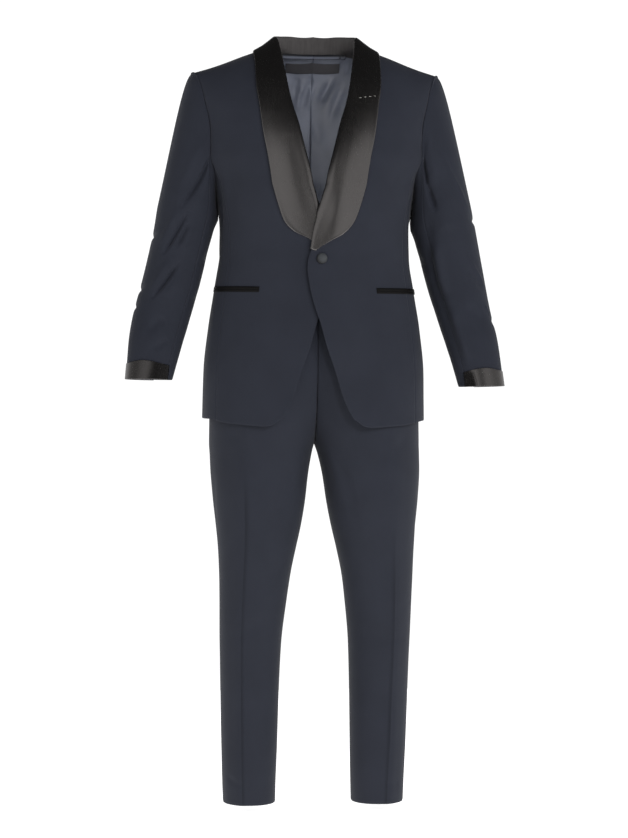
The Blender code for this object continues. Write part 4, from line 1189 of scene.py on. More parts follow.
# Folds, by side: start and end (degrees across, way), half width, height and bow.
ARMHOLE_HOLLOWS = (  # beside the armhole's seam, on both fronts
    (67.0, 0.070, 76.0, 0.014, 0.0060, -0.0050, 0.0),
    (66.0, 0.058, 64.3, 0.240, 0.0060, -0.0024, 0.0),
)
FRONT_FOLDS = {
    LEFT: (
        (97.0, 0.010, 99.0, -0.075, 0.030, 0.0084, 0.0),
        *ARMHOLE_HOLLOWS,
        (73.0, -0.004, 76.0, -0.095, 0.011, -0.0028, 0.004),
        (66.0, 0.020, 68.0, -0.080, 0.013, 0.0016, 0.0),
        (48.0, 0.060, 60.0, -0.020, 0.020, -0.0012, 0.0),
        (20.0, -0.150, 62.0, -0.118, 0.012, 0.0008, 0.006),
        (30.0, -0.260, 34.0, -0.430, 0.030, 0.0012, 0.0),
        (58.0, -0.240, 54.0, -0.440, 0.026, -0.0012, 0.004),
        (80.0, -0.200, 78.0, -0.430, 0.022, 0.0016, 0.0),
        (96.0, -0.110, 84.0, -0.160, 0.012, -0.0014, 0.0),
    ),
    RIGHT: (
        (97.0, 0.020, 98.0, -0.052, 0.027, 0.0056, 0.0),
        *ARMHOLE_HOLLOWS,
        (72.0, 0.010, 78.0, -0.090, 0.012, -0.0024, -0.003),
        (63.0, 0.030, 66.0, -0.070, 0.014, 0.0014, 0.0),
        (40.0, 0.090, 56.0, 0.000, 0.022, -0.0012, 0.0),
        (12.0, -0.160, 58.0, -0.125, 0.013, 0.0008, 0.005),
        (26.0, -0.250, 30.0, -0.430, 0.030, 0.0012, 0.0),
        (52.0, -0.260, 48.0, -0.440, 0.027, -0.0013, 0.0),
        (76.0, -0.210, 74.0, -0.430, 0.024, 0.0016, 0.003),
        (98.0, -0.120, 84.0, -0.165, 0.012, -0.0014, 0.0),
    ),
}
BACK_FOLDS = {
    LEFT: (
        (58.0, 0.150, 66.0, -0.020, 0.014, 0.0042, 0.005),
        (47.0, 0.130, 55.0, -0.050, 0.015, -0.0036, 0.0),
        (30.0, 0.030, 60.0, -0.070, 0.016, 0.0022, 0.006),
        (8.0, -0.110, 56.0, -0.150, 0.010, -0.0031, -0.005),
        (14.0, -0.138, 62.0, -0.172, 0.011, 0.0028, -0.004),
        (3.0, -0.178, 44.0, -0.196, 0.010, -0.0021, -0.004),
        (36.0, -0.230, 32.0, -0.440, 0.028, 0.0028, 0.0),
        (62.0, -0.210, 58.0, -0.430, 0.024, -0.0025, 0.004),
        (10.0, 0.250, 48.0, 0.225, 0.016, 0.0014, 0.004),
    ),
    RIGHT: (
        (56.0, 0.160, 67.0, -0.010, 0.014, 0.0039, 0.004),
        (45.0, 0.120, 56.0, -0.040, 0.014, -0.0039, 0.0),
        (26.0, 0.010, 58.0, -0.080, 0.017, 0.0021, 0.005),
        (4.0, -0.104, 50.0, -0.142, 0.011, -0.0028, -0.006),
        (18.0, -0.132, 64.0, -0.168, 0.011, 0.0029, -0.003),
        (8.0, -0.186, 50.0, -0.202, 0.009, -0.0018, -0.004),
        (32.0, -0.240, 28.0, -0.440, 0.027, 0.0025, 0.0),
        (60.0, -0.220, 60.0, -0.440, 0.026, -0.0027, 0.003),
        (6.0, 0.240, 44.0, 0.220, 0.015, 0.0014, 0.004),
    ),
}
SLEEVE_SEAM_FOLDS = (  # where the sleeve is set in, on both sides: turn, share
    (0.050, 0.991, 0.215, 0.991, 0.0060, -0.0050, 0.0),
    (0.215, 0.993, 0.420, 0.994, 0.0045, -0.0024, 0.0),
    (0.580, 0.994, 0.900, 0.992, 0.0045, -0.0026, 0.0),
)
SLEEVE_FOLDS = {  # turn, share
    RIGHT: (
        (0.150, 0.838, 0.280, 0.612, 0.0034, -0.0090, 0.003),
        (0.205, 0.850, 0.315, 0.640, 0.0090, 0.0039, 0.0),
        (0.130, 0.780, 0.236, 0.596, 0.0080, 0.0033, 0.0),
        (0.245, 0.602, 0.326, 0.442, 0.0034, -0.0074, 0.002),
        (0.285, 0.612, 0.366, 0.455, 0.0085, 0.0036, 0.0),
        (0.230, 0.566, 0.260, 0.476, 0.0032, -0.0050, 0.0),
        (0.200, 0.560, 0.240, 0.460, 0.0070, 0.0024, 0.0),
        (0.238, 0.420, 0.322, 0.285, 0.0034, -0.0074, 0.002),
        (0.276, 0.428, 0.356, 0.300, 0.0085, 0.0033, 0.0),
        (0.205, 0.390, 0.262, 0.290, 0.0080, 0.0021, 0.0),
        (0.230, 0.230, 0.306, 0.160, 0.0090, -0.0027, 0.0),
        (0.180, 0.150, 0.260, 0.105, 0.0080, -0.0021, 0.0),
        (0.420, 0.505, 0.580, 0.480, 0.0060, -0.0033, 0.0),
        (0.420, 0.312, 0.590, 0.290, 0.0060, -0.0036, 0.0),
        (0.440, 0.246, 0.580, 0.232, 0.0050, -0.0027, 0.0),
        (0.600, 0.650, 0.740, 0.520, 0.0070, -0.0051, 0.003),
        (0.560, 0.600, 0.700, 0.470, 0.0090, 0.0033, 0.0),
        (0.620, 0.470, 0.760, 0.370, 0.0065, -0.0045, -0.002),
        (0.580, 0.380, 0.720, 0.290, 0.0080, -0.0033, 0.002),
        (0.640, 0.840, 0.700, 0.700, 0.0120, 0.0036, 0.0),
        (0.820, 0.560, 0.960, 0.500, 0.0070, -0.0036, 0.0),
        (0.800, 0.380, 0.940, 0.330, 0.0070, -0.0030, 0.0),
        (0.000, 0.480, 0.110, 0.430, 0.0110, -0.0020, 0.0),
        (0.000, 0.330, 0.110, 0.290, 0.0110, -0.0018, 0.0),
        (0.965, 0.560, 0.965, 0.740, 0.0240, 0.0058, 0.0),
        *SLEEVE_SEAM_FOLDS,
    ),
    LEFT: (
        (0.140, 0.880, 0.176, 0.740, 0.0040, -0.0090, 0.0),
        (0.176, 0.745, 0.210, 0.655, 0.0040, -0.0086, 0.0),
        (0.190, 0.900, 0.236, 0.700, 0.0110, 0.0039, 0.0),
        (0.236, 0.690, 0.250, 0.560, 0.0130, 0.0027, 0.0),
        (0.155, 0.640, 0.158, 0.500, 0.0110, -0.0027, 0.0),
        (0.172, 0.560, 0.165, 0.330, 0.0110, 0.0078, 0.003),
        (0.172, 0.330, 0.186, 0.080, 0.0110, 0.0070, 0.0),
        (0.125, 0.620, 0.120, 0.120, 0.0120, -0.0034, 0.003),
        (0.284, 0.770, 0.404, 0.620, 0.0036, 0.0021, 0.003),
        (0.262, 0.740, 0.360, 0.610, 0.0085, -0.0021, 0.0),
        (0.325, 0.462, 0.430, 0.345, 0.0036, 0.0021, 0.002),
        (0.300, 0.440, 0.400, 0.330, 0.0090, -0.0021, 0.0),
        (0.384, 0.284, 0.424, 0.245, 0.0036, 0.0018, 0.0),
        (0.250, 0.300, 0.350, 0.220, 0.0120, -0.0021, 0.0),
        (0.400, 0.600, 0.580, 0.570, 0.0070, -0.0039, 0.0),
        (0.430, 0.226, 0.580, 0.206, 0.0060, -0.0030, 0.0),
        (0.600, 0.640, 0.750, 0.520, 0.0070, -0.0048, 0.003),
        (0.560, 0.590, 0.700, 0.470, 0.0090, 0.0030, 0.0),
        (0.610, 0.450, 0.760, 0.350, 0.0065, -0.0042, -0.002),
        (0.600, 0.350, 0.730, 0.280, 0.0080, -0.0033, 0.0),
        (0.640, 0.850, 0.700, 0.700, 0.0120, 0.0036, 0.0),
        (0.810, 0.550, 0.950, 0.490, 0.0070, -0.0036, 0.0),
        (0.820, 0.360, 0.960, 0.310, 0.0070, -0.0030, 0.0),
        (0.000, 0.500, 0.100, 0.450, 0.0110, -0.0020, 0.0),
        (0.965, 0.560, 0.965, 0.740, 0.0240, 0.0042, 0.0),
        *SLEEVE_SEAM_FOLDS,
    ),
}
LEG_FOLDS = {  # degrees, height
    RIGHT: (
        (18.0, -0.800, 18.5, -1.120, 0.0030, 0.0021, 0.001),
        (18.5, -1.090, 15.0, -1.495, 0.0030, 0.0023, 0.0),
        (163.0, -0.850, 160.0, -1.495, 0.0035, 0.0026, 0.001),
        (-34.0, -0.800, -20.0, -0.930, 0.0140, -0.0029, 0.004),
        (-50.0, -0.780, -40.0, -0.860, 0.0110, 0.0023, 0.0),
        (40.0, -0.740, 8.0, -0.800, 0.0120, -0.0013, 0.0),
        (-30.0, -1.130, 30.0, -1.160, 0.0130, -0.0013, -0.004),
        (120.0, -0.760, 170.0, -0.800, 0.0120, -0.0039, 0.004),
        (110.0, -0.800, 172.0, -0.850, 0.0130, 0.0029, 0.004),
        (200.0, -0.800, 150.0, -0.900, 0.0110, -0.0029, 0.0),
        (110.0, -1.100, 180.0, -1.130, 0.0090, -0.0039, -0.004),
        (120.0, -1.140, 190.0, -1.165, 0.0090, 0.0029, -0.004),
        (130.0, -1.190, 185.0, -1.205, 0.0080, -0.0029, -0.003),
        (70.0, -0.820, 84.0, -0.960, 0.0120, -0.0016, 0.0),
        (10.0, -1.460, 60.0, -1.440, 0.0070, -0.0013, 0.0),
        (120.0, -1.450, 170.0, -1.470, 0.0080, -0.0021, 0.0),
    ),
    LEFT: (
        (22.0, -0.900, 19.5, -1.180, 0.0030, 0.0018, 0.001),
        (19.5, -1.150, 13.0, -1.495, 0.0030, 0.0023, 0.0),
        (161.0, -0.860, 162.0, -1.495, 0.0035, 0.0026, 0.001),
        (-44.0, -0.790, -26.0, -0.930, 0.0140, -0.0029, -0.004),
        (-56.0, -0.780, -46.0, -0.870, 0.0110, 0.0023, 0.0),
        (44.0, -0.760, 4.0, -0.810, 0.0130, -0.0013, 0.0),
        (-26.0, -1.150, 36.0, -1.170, 0.0130, -0.0013, 0.003),
        (124.0, -0.750, 172.0, -0.790, 0.0120, -0.0036, 0.004),
        (114.0, -0.790, 174.0, -0.845, 0.0130, 0.0027, 0.003),
        (198.0, -0.810, 148.0, -0.910, 0.0110, -0.0029, 0.0),
        (106.0, -1.090, 176.0, -1.120, 0.0090, -0.0036, -0.004),
        (118.0, -1.130, 188.0, -1.160, 0.0090, 0.0029, -0.003),
        (126.0, -1.185, 180.0, -1.200, 0.0080, -0.0026, -0.003),
        (72.0, -0.840, 86.0, -0.980, 0.0120, -0.0016, 0.0),
        (6.0, -1.450, 50.0, -1.465, 0.0070, -0.0013, 0.0),
        (126.0, -1.460, 172.0, -1.445, 0.0080, -0.0020, 0.0),
    ),
}
COLLAR_FOLDS = {  # share across, along
    LEFT: (
        (0.560, 0.620, 0.520, 0.960, 0.0040, -0.0008, 0.0),
        (0.800, 0.560, 0.760, 0.780, 0.0120, 0.0006, 0.0),
    ),
    RIGHT: (
        (0.580, 0.640, 0.540, 0.900, 0.0040, -0.0007, 0.0),
        (0.780, 0.560, 0.740, 0.780, 0.0120, 0.0006, 0.0),
    ),
}
LINING_FOLDS = (  # metres out, way
    (-0.0230, 0.5330, -0.0060, 0.4860, 0.0050, -0.0038, 0.001),
    (-0.0345, 0.5400, -0.0175, 0.4820, 0.0058, 0.0092, 0.002),
    (-0.0110, 0.5420, 0.0050, 0.4960, 0.0055, 0.0040, 0.001),
    (-0.0325, 0.4640, -0.0410, 0.5020, 0.0050, -0.0049, 0.0),
    (-0.0470, 0.4700, -0.0470, 0.5200, 0.0060, 0.0032, 0.002),
    (-0.0030, 0.4680, -0.0010, 0.4900, 0.0040, -0.0038, 0.0),
    (0.0330, 0.5280, 0.0600, 0.4800, 0.0075, -0.0036, -0.002),
    (0.0210, 0.5230, 0.0450, 0.4720, 0.0065, 0.0086, 0.0),
    (0.0480, 0.5560, 0.0700, 0.4900, 0.0090, 0.0038, 0.0),
    (0.0660, 0.4000, 0.0690, 0.4450, 0.0030, -0.0043, 0.0),
    (0.0735, 0.4000, 0.0760, 0.4500, 0.0032, 0.0032, 0.0),
    (-0.0600, 0.4500, -0.0560, 0.5400, 0.0060, 0.0035, 0.0),
    (0.0060, 0.5600, 0.0280, 0.5950, 0.0110, 0.0026, 0.0),
    (-0.0200, 0.5750, -0.0040, 0.6500, 0.0120, 0.0023, 0.0),
    (0.0060, 0.6600, 0.0300, 0.6500, 0.0070, -0.0043, -0.003),
    (0.0000, 0.5200, 0.0000, 0.8000, 0.0016, -0.0020, 0.0),
)
LABEL_FOLDS = (
    (-0.0480, 0.4250, -0.0400, 0.4600, 0.0100, 0.0006, 0.0),
    (0.0100, 0.4300, 0.0160, 0.4650, 0.0120, 0.0005, 0.0),
)


def lay_front(side, u, v):
    level = HEM_LEVEL + (RIDGE - HEM_LEVEL) * v
    across = edge_turn(level) * (1 - u) + panel_side(level, "front") * u
    out = out_at(across, level)
    way = level - hem_drop(out, level)
    off = lap(across, way) if side == LEFT else 0.0
    rise = folds(FRONT_FOLDS[side], np.degrees(across), way, BODY_UNITS)
    return on_body(side, across, way, off + rise)


def lay_side(side, u, v):
    level = HEM_LEVEL + (CORNER_LEVEL - HEM_LEVEL) * v
    start = np.radians(SIDE_SEAMS("front", level))
    end = math.pi - np.radians(SIDE_SEAMS("back", level))
    angle = start * (1 - u) + end * u
    follow = np.interp(level, (SCOOP_TOP, CORNER_LEVEL), (0, 1))
    scoop = CORNER_LEVEL * (1 - np.abs(2 * u - 1) ** SCOOP_SQUARE) * follow
    out = out_at(angle, level)
    low = level - scoop - hem_drop(out, level) * (1 - u)
    back = angle > math.pi / 2
    across = np.where(back, math.pi - angle, angle)
    way = np.where(back, 2 * RIDGE - low, low)
    rise = folds(FRONT_FOLDS[side], np.degrees(angle), low, BODY_UNITS)
    rise = rise + folds(BACK_FOLDS[side], 180 - np.degrees(angle), low, BODY_UNITS)
    return on_body(side, across, way, rise)


def lay_back(side, u, v):
    level = HEM_LEVEL + (RIDGE - HEM_LEVEL) * v
    across = panel_side(level, "back") * u
    out = out_at(across, level)
    fall = np.interp(level, (NECK_FALL, RIDGE), (0, 1))
    way = 2 * RIDGE - level + (neck_way(out) - RIDGE) * fall**2
    return on_body(side, across, way, folds(BACK_FOLDS[side], np.degrees(across), level, BODY_UNITS))


def lay_collar(side, u, v):
    places, fullness = SWELL_REACH[side]
    share = u * (1 + FACING_SHARE) - FACING_SHARE
    swell = SWELL("rise", share) * fullness * ease(np.interp(v, places, (0, 1, 1, 0)))
    rise = folds(COLLAR_FOLDS[side], share, v, COLLAR_UNITS) * (share > 0)
    bead = EDGE_BEAD * np.exp(-(((1 - share) / EDGE_BEAD_REACH) ** 2))
    rise = rise + swell + bead * np.interp(v, BEAD_START, (0, 1))
    return raised(partial(collar, side), -side, share, v, rise)


def lay_lining(side, u, v):
    across = LINING_TURN * u
    out = out_at(across, RIDGE)
    top = np.maximum(neck_way(out) + LINING_SEAM, RIDGE + LINING_RIDGE)
    way = LINING_FOOT * (1 - v) + top * v
    drop = np.clip((1 - v) / LINING_DROP, 0, 1)
    off = LINING_TOP_OFF * (1 - drop) + LINING_OFF * drop - LINING_THICKNESS
    points, outward = on_body(side, across, way, off - folds(LINING_FOLDS, side * out, way) * drop)
    return points, -outward


def sleeve_folds(side, turn, share):
    """The sleeve's folds, which run on past the turn where one round ends and the next starts."""
    turn = np.mod(turn, 1)
    return sum(folds(SLEEVE_FOLDS[side], turn + whole, share, SLEEVE_UNITS) for whole in (-1, 0, 1))


def lay_sleeve(side, start, end, u, v):
    """The cloth runs on past the armhole's seam by the allowance that is sewn into it."""
    turn = start + (end - start) * u
    share = np.minimum(v * (1 + HEAD_ALLOWANCE), 1)
    past = v * (1 + HEAD_ALLOWANCE) - share
    crown = np.clip(-np.cos(TAU * turn), 0, 1)
    roping = HEAD_RISE * crown * np.exp(-(((1 - share) / HEAD_REACH - 1) ** 2))
    points, outward = on_sleeve(side, turn, share, sleeve_folds(side, turn, share) + roping)
    seam, before = (on_sleeve(side, turn, 0 * v + place)[0] for place in (1, 1 - HEAD_AHEAD))
    onward = HEAD_ONWARD * (seam - before) / np.linalg.norm(seam - before, axis=-1, keepdims=True)
    return points + (onward - (side, 0, 0)) * (past * SLEEVE_UNITS[1])[..., None], outward


def lay_cuff(side, u, v):
    turn = FOREARM_SEAM + (HINDARM_SEAM - FOREARM_SEAM) * u
    outer = np.clip(-np.cos(TAU * turn), 0, 1)
    top = CUFF_LOW + CUFF_ARCH * np.exp(-(((u - CUFF_CROWN[side]) / CUFF_SPREAD) ** 2))
    kick = CUFF_KICK[side] * ease(np.interp(u, CUFF_KICK_END[side], (1, 0))) * (1 - v)
    off = CUFF_OFF + CUFF_FLARE * outer * v + kick + sleeve_folds(side, turn, top * v)
    return on_sleeve(side, turn, top * v, off)


def lay_jet(side, drop, u, v):
    across = np.radians(POCKET_START * (1 - u) + POCKET_END * u)
    way = POCKET_WAY + POCKET_SLOPE * u - drop - JET * (1 - v)
    rise = folds(FRONT_FOLDS[side], np.degrees(across), way, BODY_UNITS)
    return on_body(side, across, way, JET_OFF + rise + JET_PUFF * (1 - (2 * v - 1) ** 2))


CREASE_SHADE_LINES = {  # each leg's pressed creases, from the hem up: heights, and the turns in front and behind, where the painted crease shade lies
    RIGHT: ((-1.495, -1.105, -0.900, -0.830), (15.0, 18.5, 18.0, 18.0), (160.0, 161.5, 163.0, 163.0)),
    LEFT: ((-1.495, -1.165, -1.060, -0.940), (13.0, 19.5, 20.6, 21.7), (162.0, 161.8, 161.6, 161.2)),
}


def mark_crease_shade(mesh, side, which):
    """Lays a second measure on a leg: how far each place is from the crease, and how strong the painted
    crease shade is there.
    """
    heights, *turns = CREASE_SHADE_LINES[side]
    shares = np.empty(2 * len(mesh.loops), np.float32)
    mesh.uv_layers["place"].uv.foreach_get("vector", shares)
    u, v = shares.reshape(-1, 2).T.astype(float)
    height, turn = leg_place(which, u, v)
    crease = np.interp(height, heights, turns[which == "back"])
    beside = (np.degrees(turn) - crease) * LEG_UNITS[0] * (-1 if which == "back" else 1)
    sharp = np.interp(height, heights[2:], (1, 0))
    layer = mesh.uv_layers.new(name="crease")
    layer.uv.foreach_set("vector", np.stack((beside, sharp), -1).astype(np.float32).ravel())


def leg_place(which, u, v):
    """Height and turn of a place on one of a leg's panels."""
    height = TROUSER_HEM + (WAIST_SEAM - TROUSER_HEM) * v
    inner = centre_turn(height)
    if which == "front":
        return height, inner * (1 - u) + math.pi / 2 * u
    return height, math.pi / 2 * (1 - u) + (math.pi - inner) * u


def lay_leg(side, which, u, v):
    height, turn = leg_place(which, u, v)
    rise = folds(LEG_FOLDS[side], np.degrees(turn), height, LEG_UNITS)
    return raised(partial(leg, side), side, turn, height, rise)


def lay_band(side, u, v):
    height = WAIST_SEAM * (1 - v) + WAIST_TOP * v
    turn = centre_turn(height) * (1 - u) + (math.pi - centre_turn(height)) * u
    return raised(partial(leg, side), side, turn, height, BAND_OFF)


def lay_shield(u, v):
    height = FLY_END * (1 - v) + FLY_TOP * v
    out = FLY_HALF * (2 * u - 1) * np.interp(v, *FLY_TAPER)
    share = (np.abs(out) - LEG("middle", height)) / LEG("half_width", height)
    turn = np.arcsin(np.abs(share) ** (LEG_SQUARE / 2)) * np.sign(share)
    points, _ = raised(partial(leg, LEFT), LEFT, turn, height, -FLY_OFF)
    points[..., 0] = out
    return points, np.zeros_like(points) + np.array((0, -1, 0))


def lay_label(u, v):
    out = LABEL["half"] * (2 * u - 1)
    way = LABEL["way"] + LABEL["depth"] * (1 - v) - LABEL["bow"] * (2 * u - 1) ** 2
    across = turn_at(out, 2 * RIDGE - way)
    off = LINING_OFF - LINING_THICKNESS - LABEL["off"]
    points, outward = on_body(LEFT, across, way, off - folds(LABEL_FOLDS, out, way))
    return points, -outward


def lay_loop(u, v):
    """A folded strip across the back neck, round in its section, with a knob at its left end."""
    out = LOOP["start"] * (1 - u) + LOOP["end"] * u
    pinch = np.exp(-(((out - LOOP_TACK) / PINCH["half"]) ** 2))
    half = LOOP_LINE("half", np.abs(out)) * (1 - PINCH["narrow"] * pinch)
    way = LOOP_LINE("way", np.abs(out)) - half * (2 * v - 1)
    across = turn_at(out, 2 * RIDGE - way)
    puff = LOOP["puff"] * np.sqrt(np.clip(1 - (2 * v - 1) ** 2, 0, 1)) * (1 - PINCH["flat"] * pinch)
    beyond = ((out - LOOP_TACK - KNOB["beyond"]) / KNOB["half"]) ** 2
    knob = KNOB["rise"] * np.exp(-beyond - ((2 * v - 1) / KNOB["across"]) ** 2)
    off = LINING_OFF - LINING_THICKNESS - LOOP["off"] - LOOP["lean"] * (1 - v) - puff - knob
    points, outward = on_body(LEFT, across, way, off)
    return points, -outward


# ---------------------------------------------------------------- what a user may change


def colour_of(name, thing, default):
    description = f"Colour of the {thing}"
    return FloatVectorProperty(
        name=f"{name} colour", description=description, default=default, subtype="COLOR"
    )


def thickness_of(name, default, least, most):
    description = f"Thickness of the {name.lower()}"
    return FloatProperty(
        name=name, description=description, default=default, min=least, max=most, unit="LENGTH"
    )


def roughness_of(name, default):
    matte = f"How matte the {name.lower()} is"
    return FloatProperty(
        name=f"{name} roughness", description=matte, default=default, min=0, max=1, subtype="FACTOR"
    )


class SuitCloth(bpy.types.PropertyGroup):
    """Thicknesses, colours and roughness of the suit's cloths."""

    wool_thickness: thickness_of("Wool", 0.0015, 0.0005, 0.004)
    satin_thickness: thickness_of("Satin", 0.0014, 0.0005, 0.004)
    lining_thickness: thickness_of("Lining", 0.0008, 0.0002, 0.002)
    wool_colour: colour_of("Wool", "wool", (0.0200, 0.0222, 0.0312))
    satin_colour: colour_of("Satin", "satin", (0.0038, 0.0036, 0.0036))
    stand_colour: colour_of("Stand", "inside of the collar's stand", (0.066, 0.062, 0.062))
    button_colour: colour_of("Button", "covered button", (0.040, 0.043, 0.047))
    # the lining's colour at about 0.6: painted shade for the loop, which stands out towards the light
    loop_colour: colour_of("Loop", "hanging loop", (0.090, 0.099, 0.130))
    lining_colour: colour_of("Lining", "lining", (0.155, 0.168, 0.212))
    label_colour: colour_of("Label", "blank label", (0.029, 0.029, 0.034))
    thread_colour: colour_of("Thread", "hand stitches", (0.42, 0.41, 0.38))
    wool_roughness: roughness_of("Wool", 0.80)
    satin_roughness: roughness_of("Satin", 0.27)
    lining_roughness: roughness_of("Lining", 0.38)


class SuitStage(bpy.types.PropertyGroup):
    """Light and floor of the studio."""

    floor_colour: colour_of("Floor", "floor", (0.90, 0.90, 0.90))
    room_light: FloatProperty(
        name="Room light", description="Strength of the light from all round",
        default=1.0, min=0, max=5
    )
    ceiling_light: FloatProperty(
        name="Ceiling", description="Brightness of the ceiling beside the walls'",
        default=0.03, min=0, max=1
    )
    window_light: FloatProperty(
        name="Soft boxes", description="Power of each tall soft box",
        default=40, min=0, max=1000, unit="POWER"
    )


MADE = {}  # materials, made once and shared


def material_of(name):
    cloth = bpy.context.scene.suit_cloth
    makers = {  # a finish's maker, colour and roughness
        "navy_worsted": (wool, cloth.wool_colour, cloth.wool_roughness),
        "navy_worsted_pressed": (crease_shaded_wool, cloth.wool_colour, cloth.wool_roughness),
        "black_silk_satin": (satin, cloth.satin_colour, cloth.satin_roughness),
        "blue_grey_twill": (lining_cloth, cloth.lining_colour, cloth.lining_roughness),
        "label_ribbon": (satin, cloth.label_colour, 0.6),
        "black_silk_edging": (edging, cloth.satin_colour, 0.62),
        "grey_silk_inside": (dull_satin, cloth.stand_colour, 0.6),
        # the button's colour carries a painted highlight and painted shade
        "black_silk_dome": (satin_with_painted_light, cloth.button_colour, 0.42),
        "blue_grey_loop": (loop_cloth, cloth.loop_colour, 0.5),
        "pale_silk_thread": (thread, cloth.thread_colour, 0.5),
    }
    if name not in MADE:
        make, colour, roughness = makers[name]
        MADE[name] = make(name, tuple(colour), roughness)
    return MADE[name]


# ---------------------------------------------------------------- making the pieces


class SUIT_OT_jacket(bpy.types.Operator):
    """Cut and sew the jacket's fronts, sides and backs"""

    bl_idname = "suit.jacket"
    bl_label = "Jacket body"

    def execute(self, context):
        thickness = context.scene.suit_cloth.wool_thickness
        for side, hand in SIDES:
            for part, lay in (("front", lay_front), ("side", lay_side), ("back", lay_back)):
                name, node = f"wool_{part}_{hand}", f"jacket_{part}_{hand}"
                sew(name, partial(lay, side), node, "navy_worsted", thickness, lined=True)
        return {"FINISHED"}


class SUIT_OT_sleeves(bpy.types.Operator):
    """Cut and sew the two-piece sleeves and their satin cuffs"""

    bl_idname = "suit.sleeves"
    bl_label = "Sleeves and cuffs"

    def execute(self, context):
        cloth = context.scene.suit_cloth
        for side, hand in SIDES:
            upper = partial(lay_sleeve, side, FOREARM_SEAM, HINDARM_SEAM)
            under = partial(lay_sleeve, side, HINDARM_SEAM - 1, FOREARM_SEAM)
            wool_look = ("navy_worsted", cloth.wool_thickness, True)
            sew(f"sleeve_top_{hand}", upper, f"sleeve_upper_{hand}", *wool_look)
            sew(f"sleeve_below_{hand}", under, f"sleeve_under_{hand}", *wool_look)
            cuff = partial(lay_cuff, side)
            sew(f"satin_cuff_{hand}", cuff, f"cuff_{hand}", "black_silk_satin", cloth.satin_thickness)
        return {"FINISHED"}


class SUIT_OT_collar(bpy.types.Operator):
    """Fold the shawl collar and roll its lapels"""

    bl_idname = "suit.collar"
    bl_label = "Shawl collar"

    def execute(self, context):
        thickness = context.scene.suit_cloth.satin_thickness
        for side, hand in SIDES:
            name, node = f"satin_collar_{hand}", f"shawl_collar_{hand}"
            face_stand(sew(name, partial(lay_collar, side), node, "black_silk_satin", thickness).data)
        return {"FINISHED"}


class SUIT_OT_lining(bpy.types.Operator):
    """Hang the back lining with its label and hanger loop"""

    bl_idname = "suit.lining"
    bl_label = "Lining, label and loop"

    def execute(self, context):
        thickness = context.scene.suit_cloth.lining_thickness
        for side, hand in SIDES:
            lay = partial(lay_lining, side)
            sew(f"lining_{hand}", lay, f"lining_back_{hand}", "blue_grey_twill", thickness)
        sew("label_blank", lay_label, "label_patch", "label_ribbon", LABEL_THICKNESS)
        sew("loop_for_hanging", lay_loop, "hanger_loop", "blue_grey_loop", LOOP_THICKNESS)
        return {"FINISHED"}


class SUIT_OT_trimmings(bpy.types.Operator):
    """Set in the satin pocket jets and sew on the covered button"""

    bl_idname = "suit.trimmings"
    bl_label = "Pockets and button"

    def execute(self, context):
        for side, hand in SIDES:
            for which, drop in (("upper", 0.0), ("lower", JET)):
                name, node = f"jet_{which}_{hand}", f"pocket_jet_{which}_{hand}"
                sew(name, partial(lay_jet, side, drop), node, "black_silk_edging", JET_THICKNESS)
        covered_button()
        lapel_stitches()
        return {"FINISHED"}


class SUIT_OT_trousers(bpy.types.Operator):
    """Cut and sew the trousers with their waistband and fly"""

    bl_idname = "suit.trousers"
    bl_label = "Trousers"

    def execute(self, context):
        thickness = context.scene.suit_cloth.wool_thickness
        for side, hand in SIDES:
            for which in ("front", "back"):
                name, node = f"leg_{which}_{hand}", f"trouser_{which}_{hand}"
                lay = partial(lay_leg, side, which)
                # the legs' wool carries painted shade along its pressed creases
                piece = sew(name, lay, node, "navy_worsted_pressed", thickness)
                mark_crease_shade(piece.data, side, which)
            band = partial(lay_band, side)
            sew(f"band_{hand}", band, f"waistband_{hand}", "navy_worsted", BAND_THICKNESS)
        sew("shield_behind_fly", lay_shield, "fly_shield", "navy_worsted", thickness)
        return {"FINISHED"}


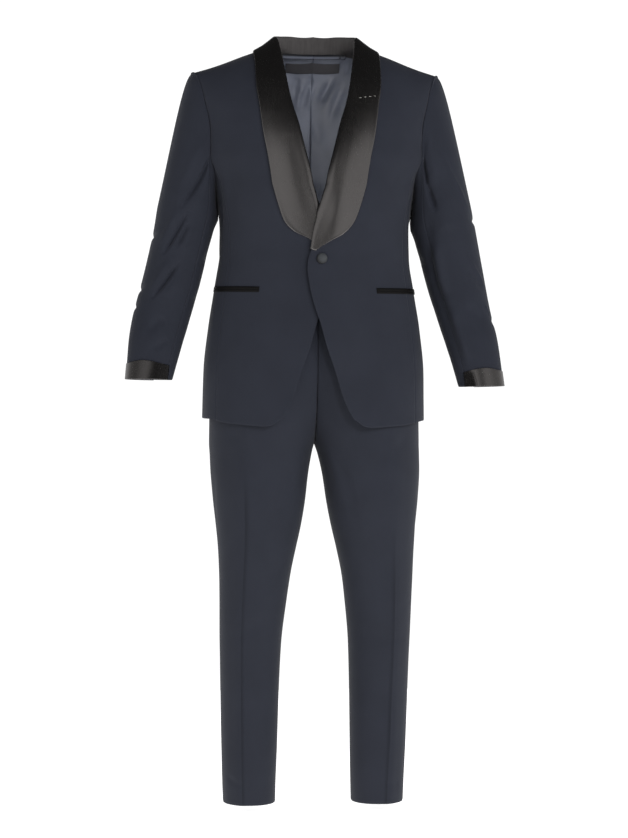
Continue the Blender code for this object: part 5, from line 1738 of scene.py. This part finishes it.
class SUIT_OT_stage(bpy.types.Operator):
    """Set up the pale floor, the soft light and the camera"""

    bl_idname = "suit.stage"
    bl_label = "Studio"

    def execute(self, context):
        stage = context.scene.suit_stage
        floor_sheet(tuple(stage.floor_colour))
        world_light(stage.room_light, stage.ceiling_light)
        for name, place, target, size, power in STAGE_LAMPS:
            soft_box(name, place, target, size, power * stage.window_light)
        camera = bpy.data.objects.new("camera", bpy.data.cameras.new("camera"))
        context.scene.collection.objects.link(camera)
        camera.location = CAMERA_PLACE
        camera.rotation_euler = (math.pi / 2, 0, -CAMERA_TURN)
        camera.data.lens = CAMERA_LENS
        camera.data.sensor_width = CAMERA_SENSOR
        camera.data.clip_end = CAMERA_REACH
        context.scene.camera = camera
        context.scene.view_settings.view_transform = "Standard"
        return {"FINISHED"}


class SUIT_PT_panel(bpy.types.Panel):
    """Shows the suit's settings, and the buttons that make its pieces, in the sidebar"""

    bl_idname = "SUIT_PT_panel"
    bl_label = "Dinner suit"
    bl_space_type = "VIEW_3D"
    bl_region_type = "UI"
    bl_category = "Suit"

    def draw(self, context):
        for group in (context.scene.suit_cloth, context.scene.suit_stage):
            box = self.layout.box()
            for name in group.__annotations__:
                box.prop(group, name)
        for operator in OPERATORS:
            self.layout.operator(operator.bl_idname)


OPERATORS = (
    SUIT_OT_jacket,
    SUIT_OT_sleeves,
    SUIT_OT_collar,
    SUIT_OT_lining,
    SUIT_OT_trimmings,
    SUIT_OT_trousers,
    SUIT_OT_stage,
)
CLASSES = (SuitCloth, SuitStage, *OPERATORS, SUIT_PT_panel)


def register():
    for each in CLASSES:
        bpy.utils.register_class(each)
    bpy.types.Scene.suit_cloth = PointerProperty(type=SuitCloth)
    bpy.types.Scene.suit_stage = PointerProperty(type=SuitStage)


def unregister():
    del bpy.types.Scene.suit_cloth
    del bpy.types.Scene.suit_stage
    for each in reversed(CLASSES):
        bpy.utils.unregister_class(each)


def main():
    register()
    bpy.ops.suit.jacket()
    bpy.ops.suit.sleeves()
    bpy.ops.suit.collar()
    bpy.ops.suit.lining()
    bpy.ops.suit.trimmings()
    bpy.ops.suit.trousers()
    bpy.ops.suit.stage()


if __name__ == "__main__":
    main()
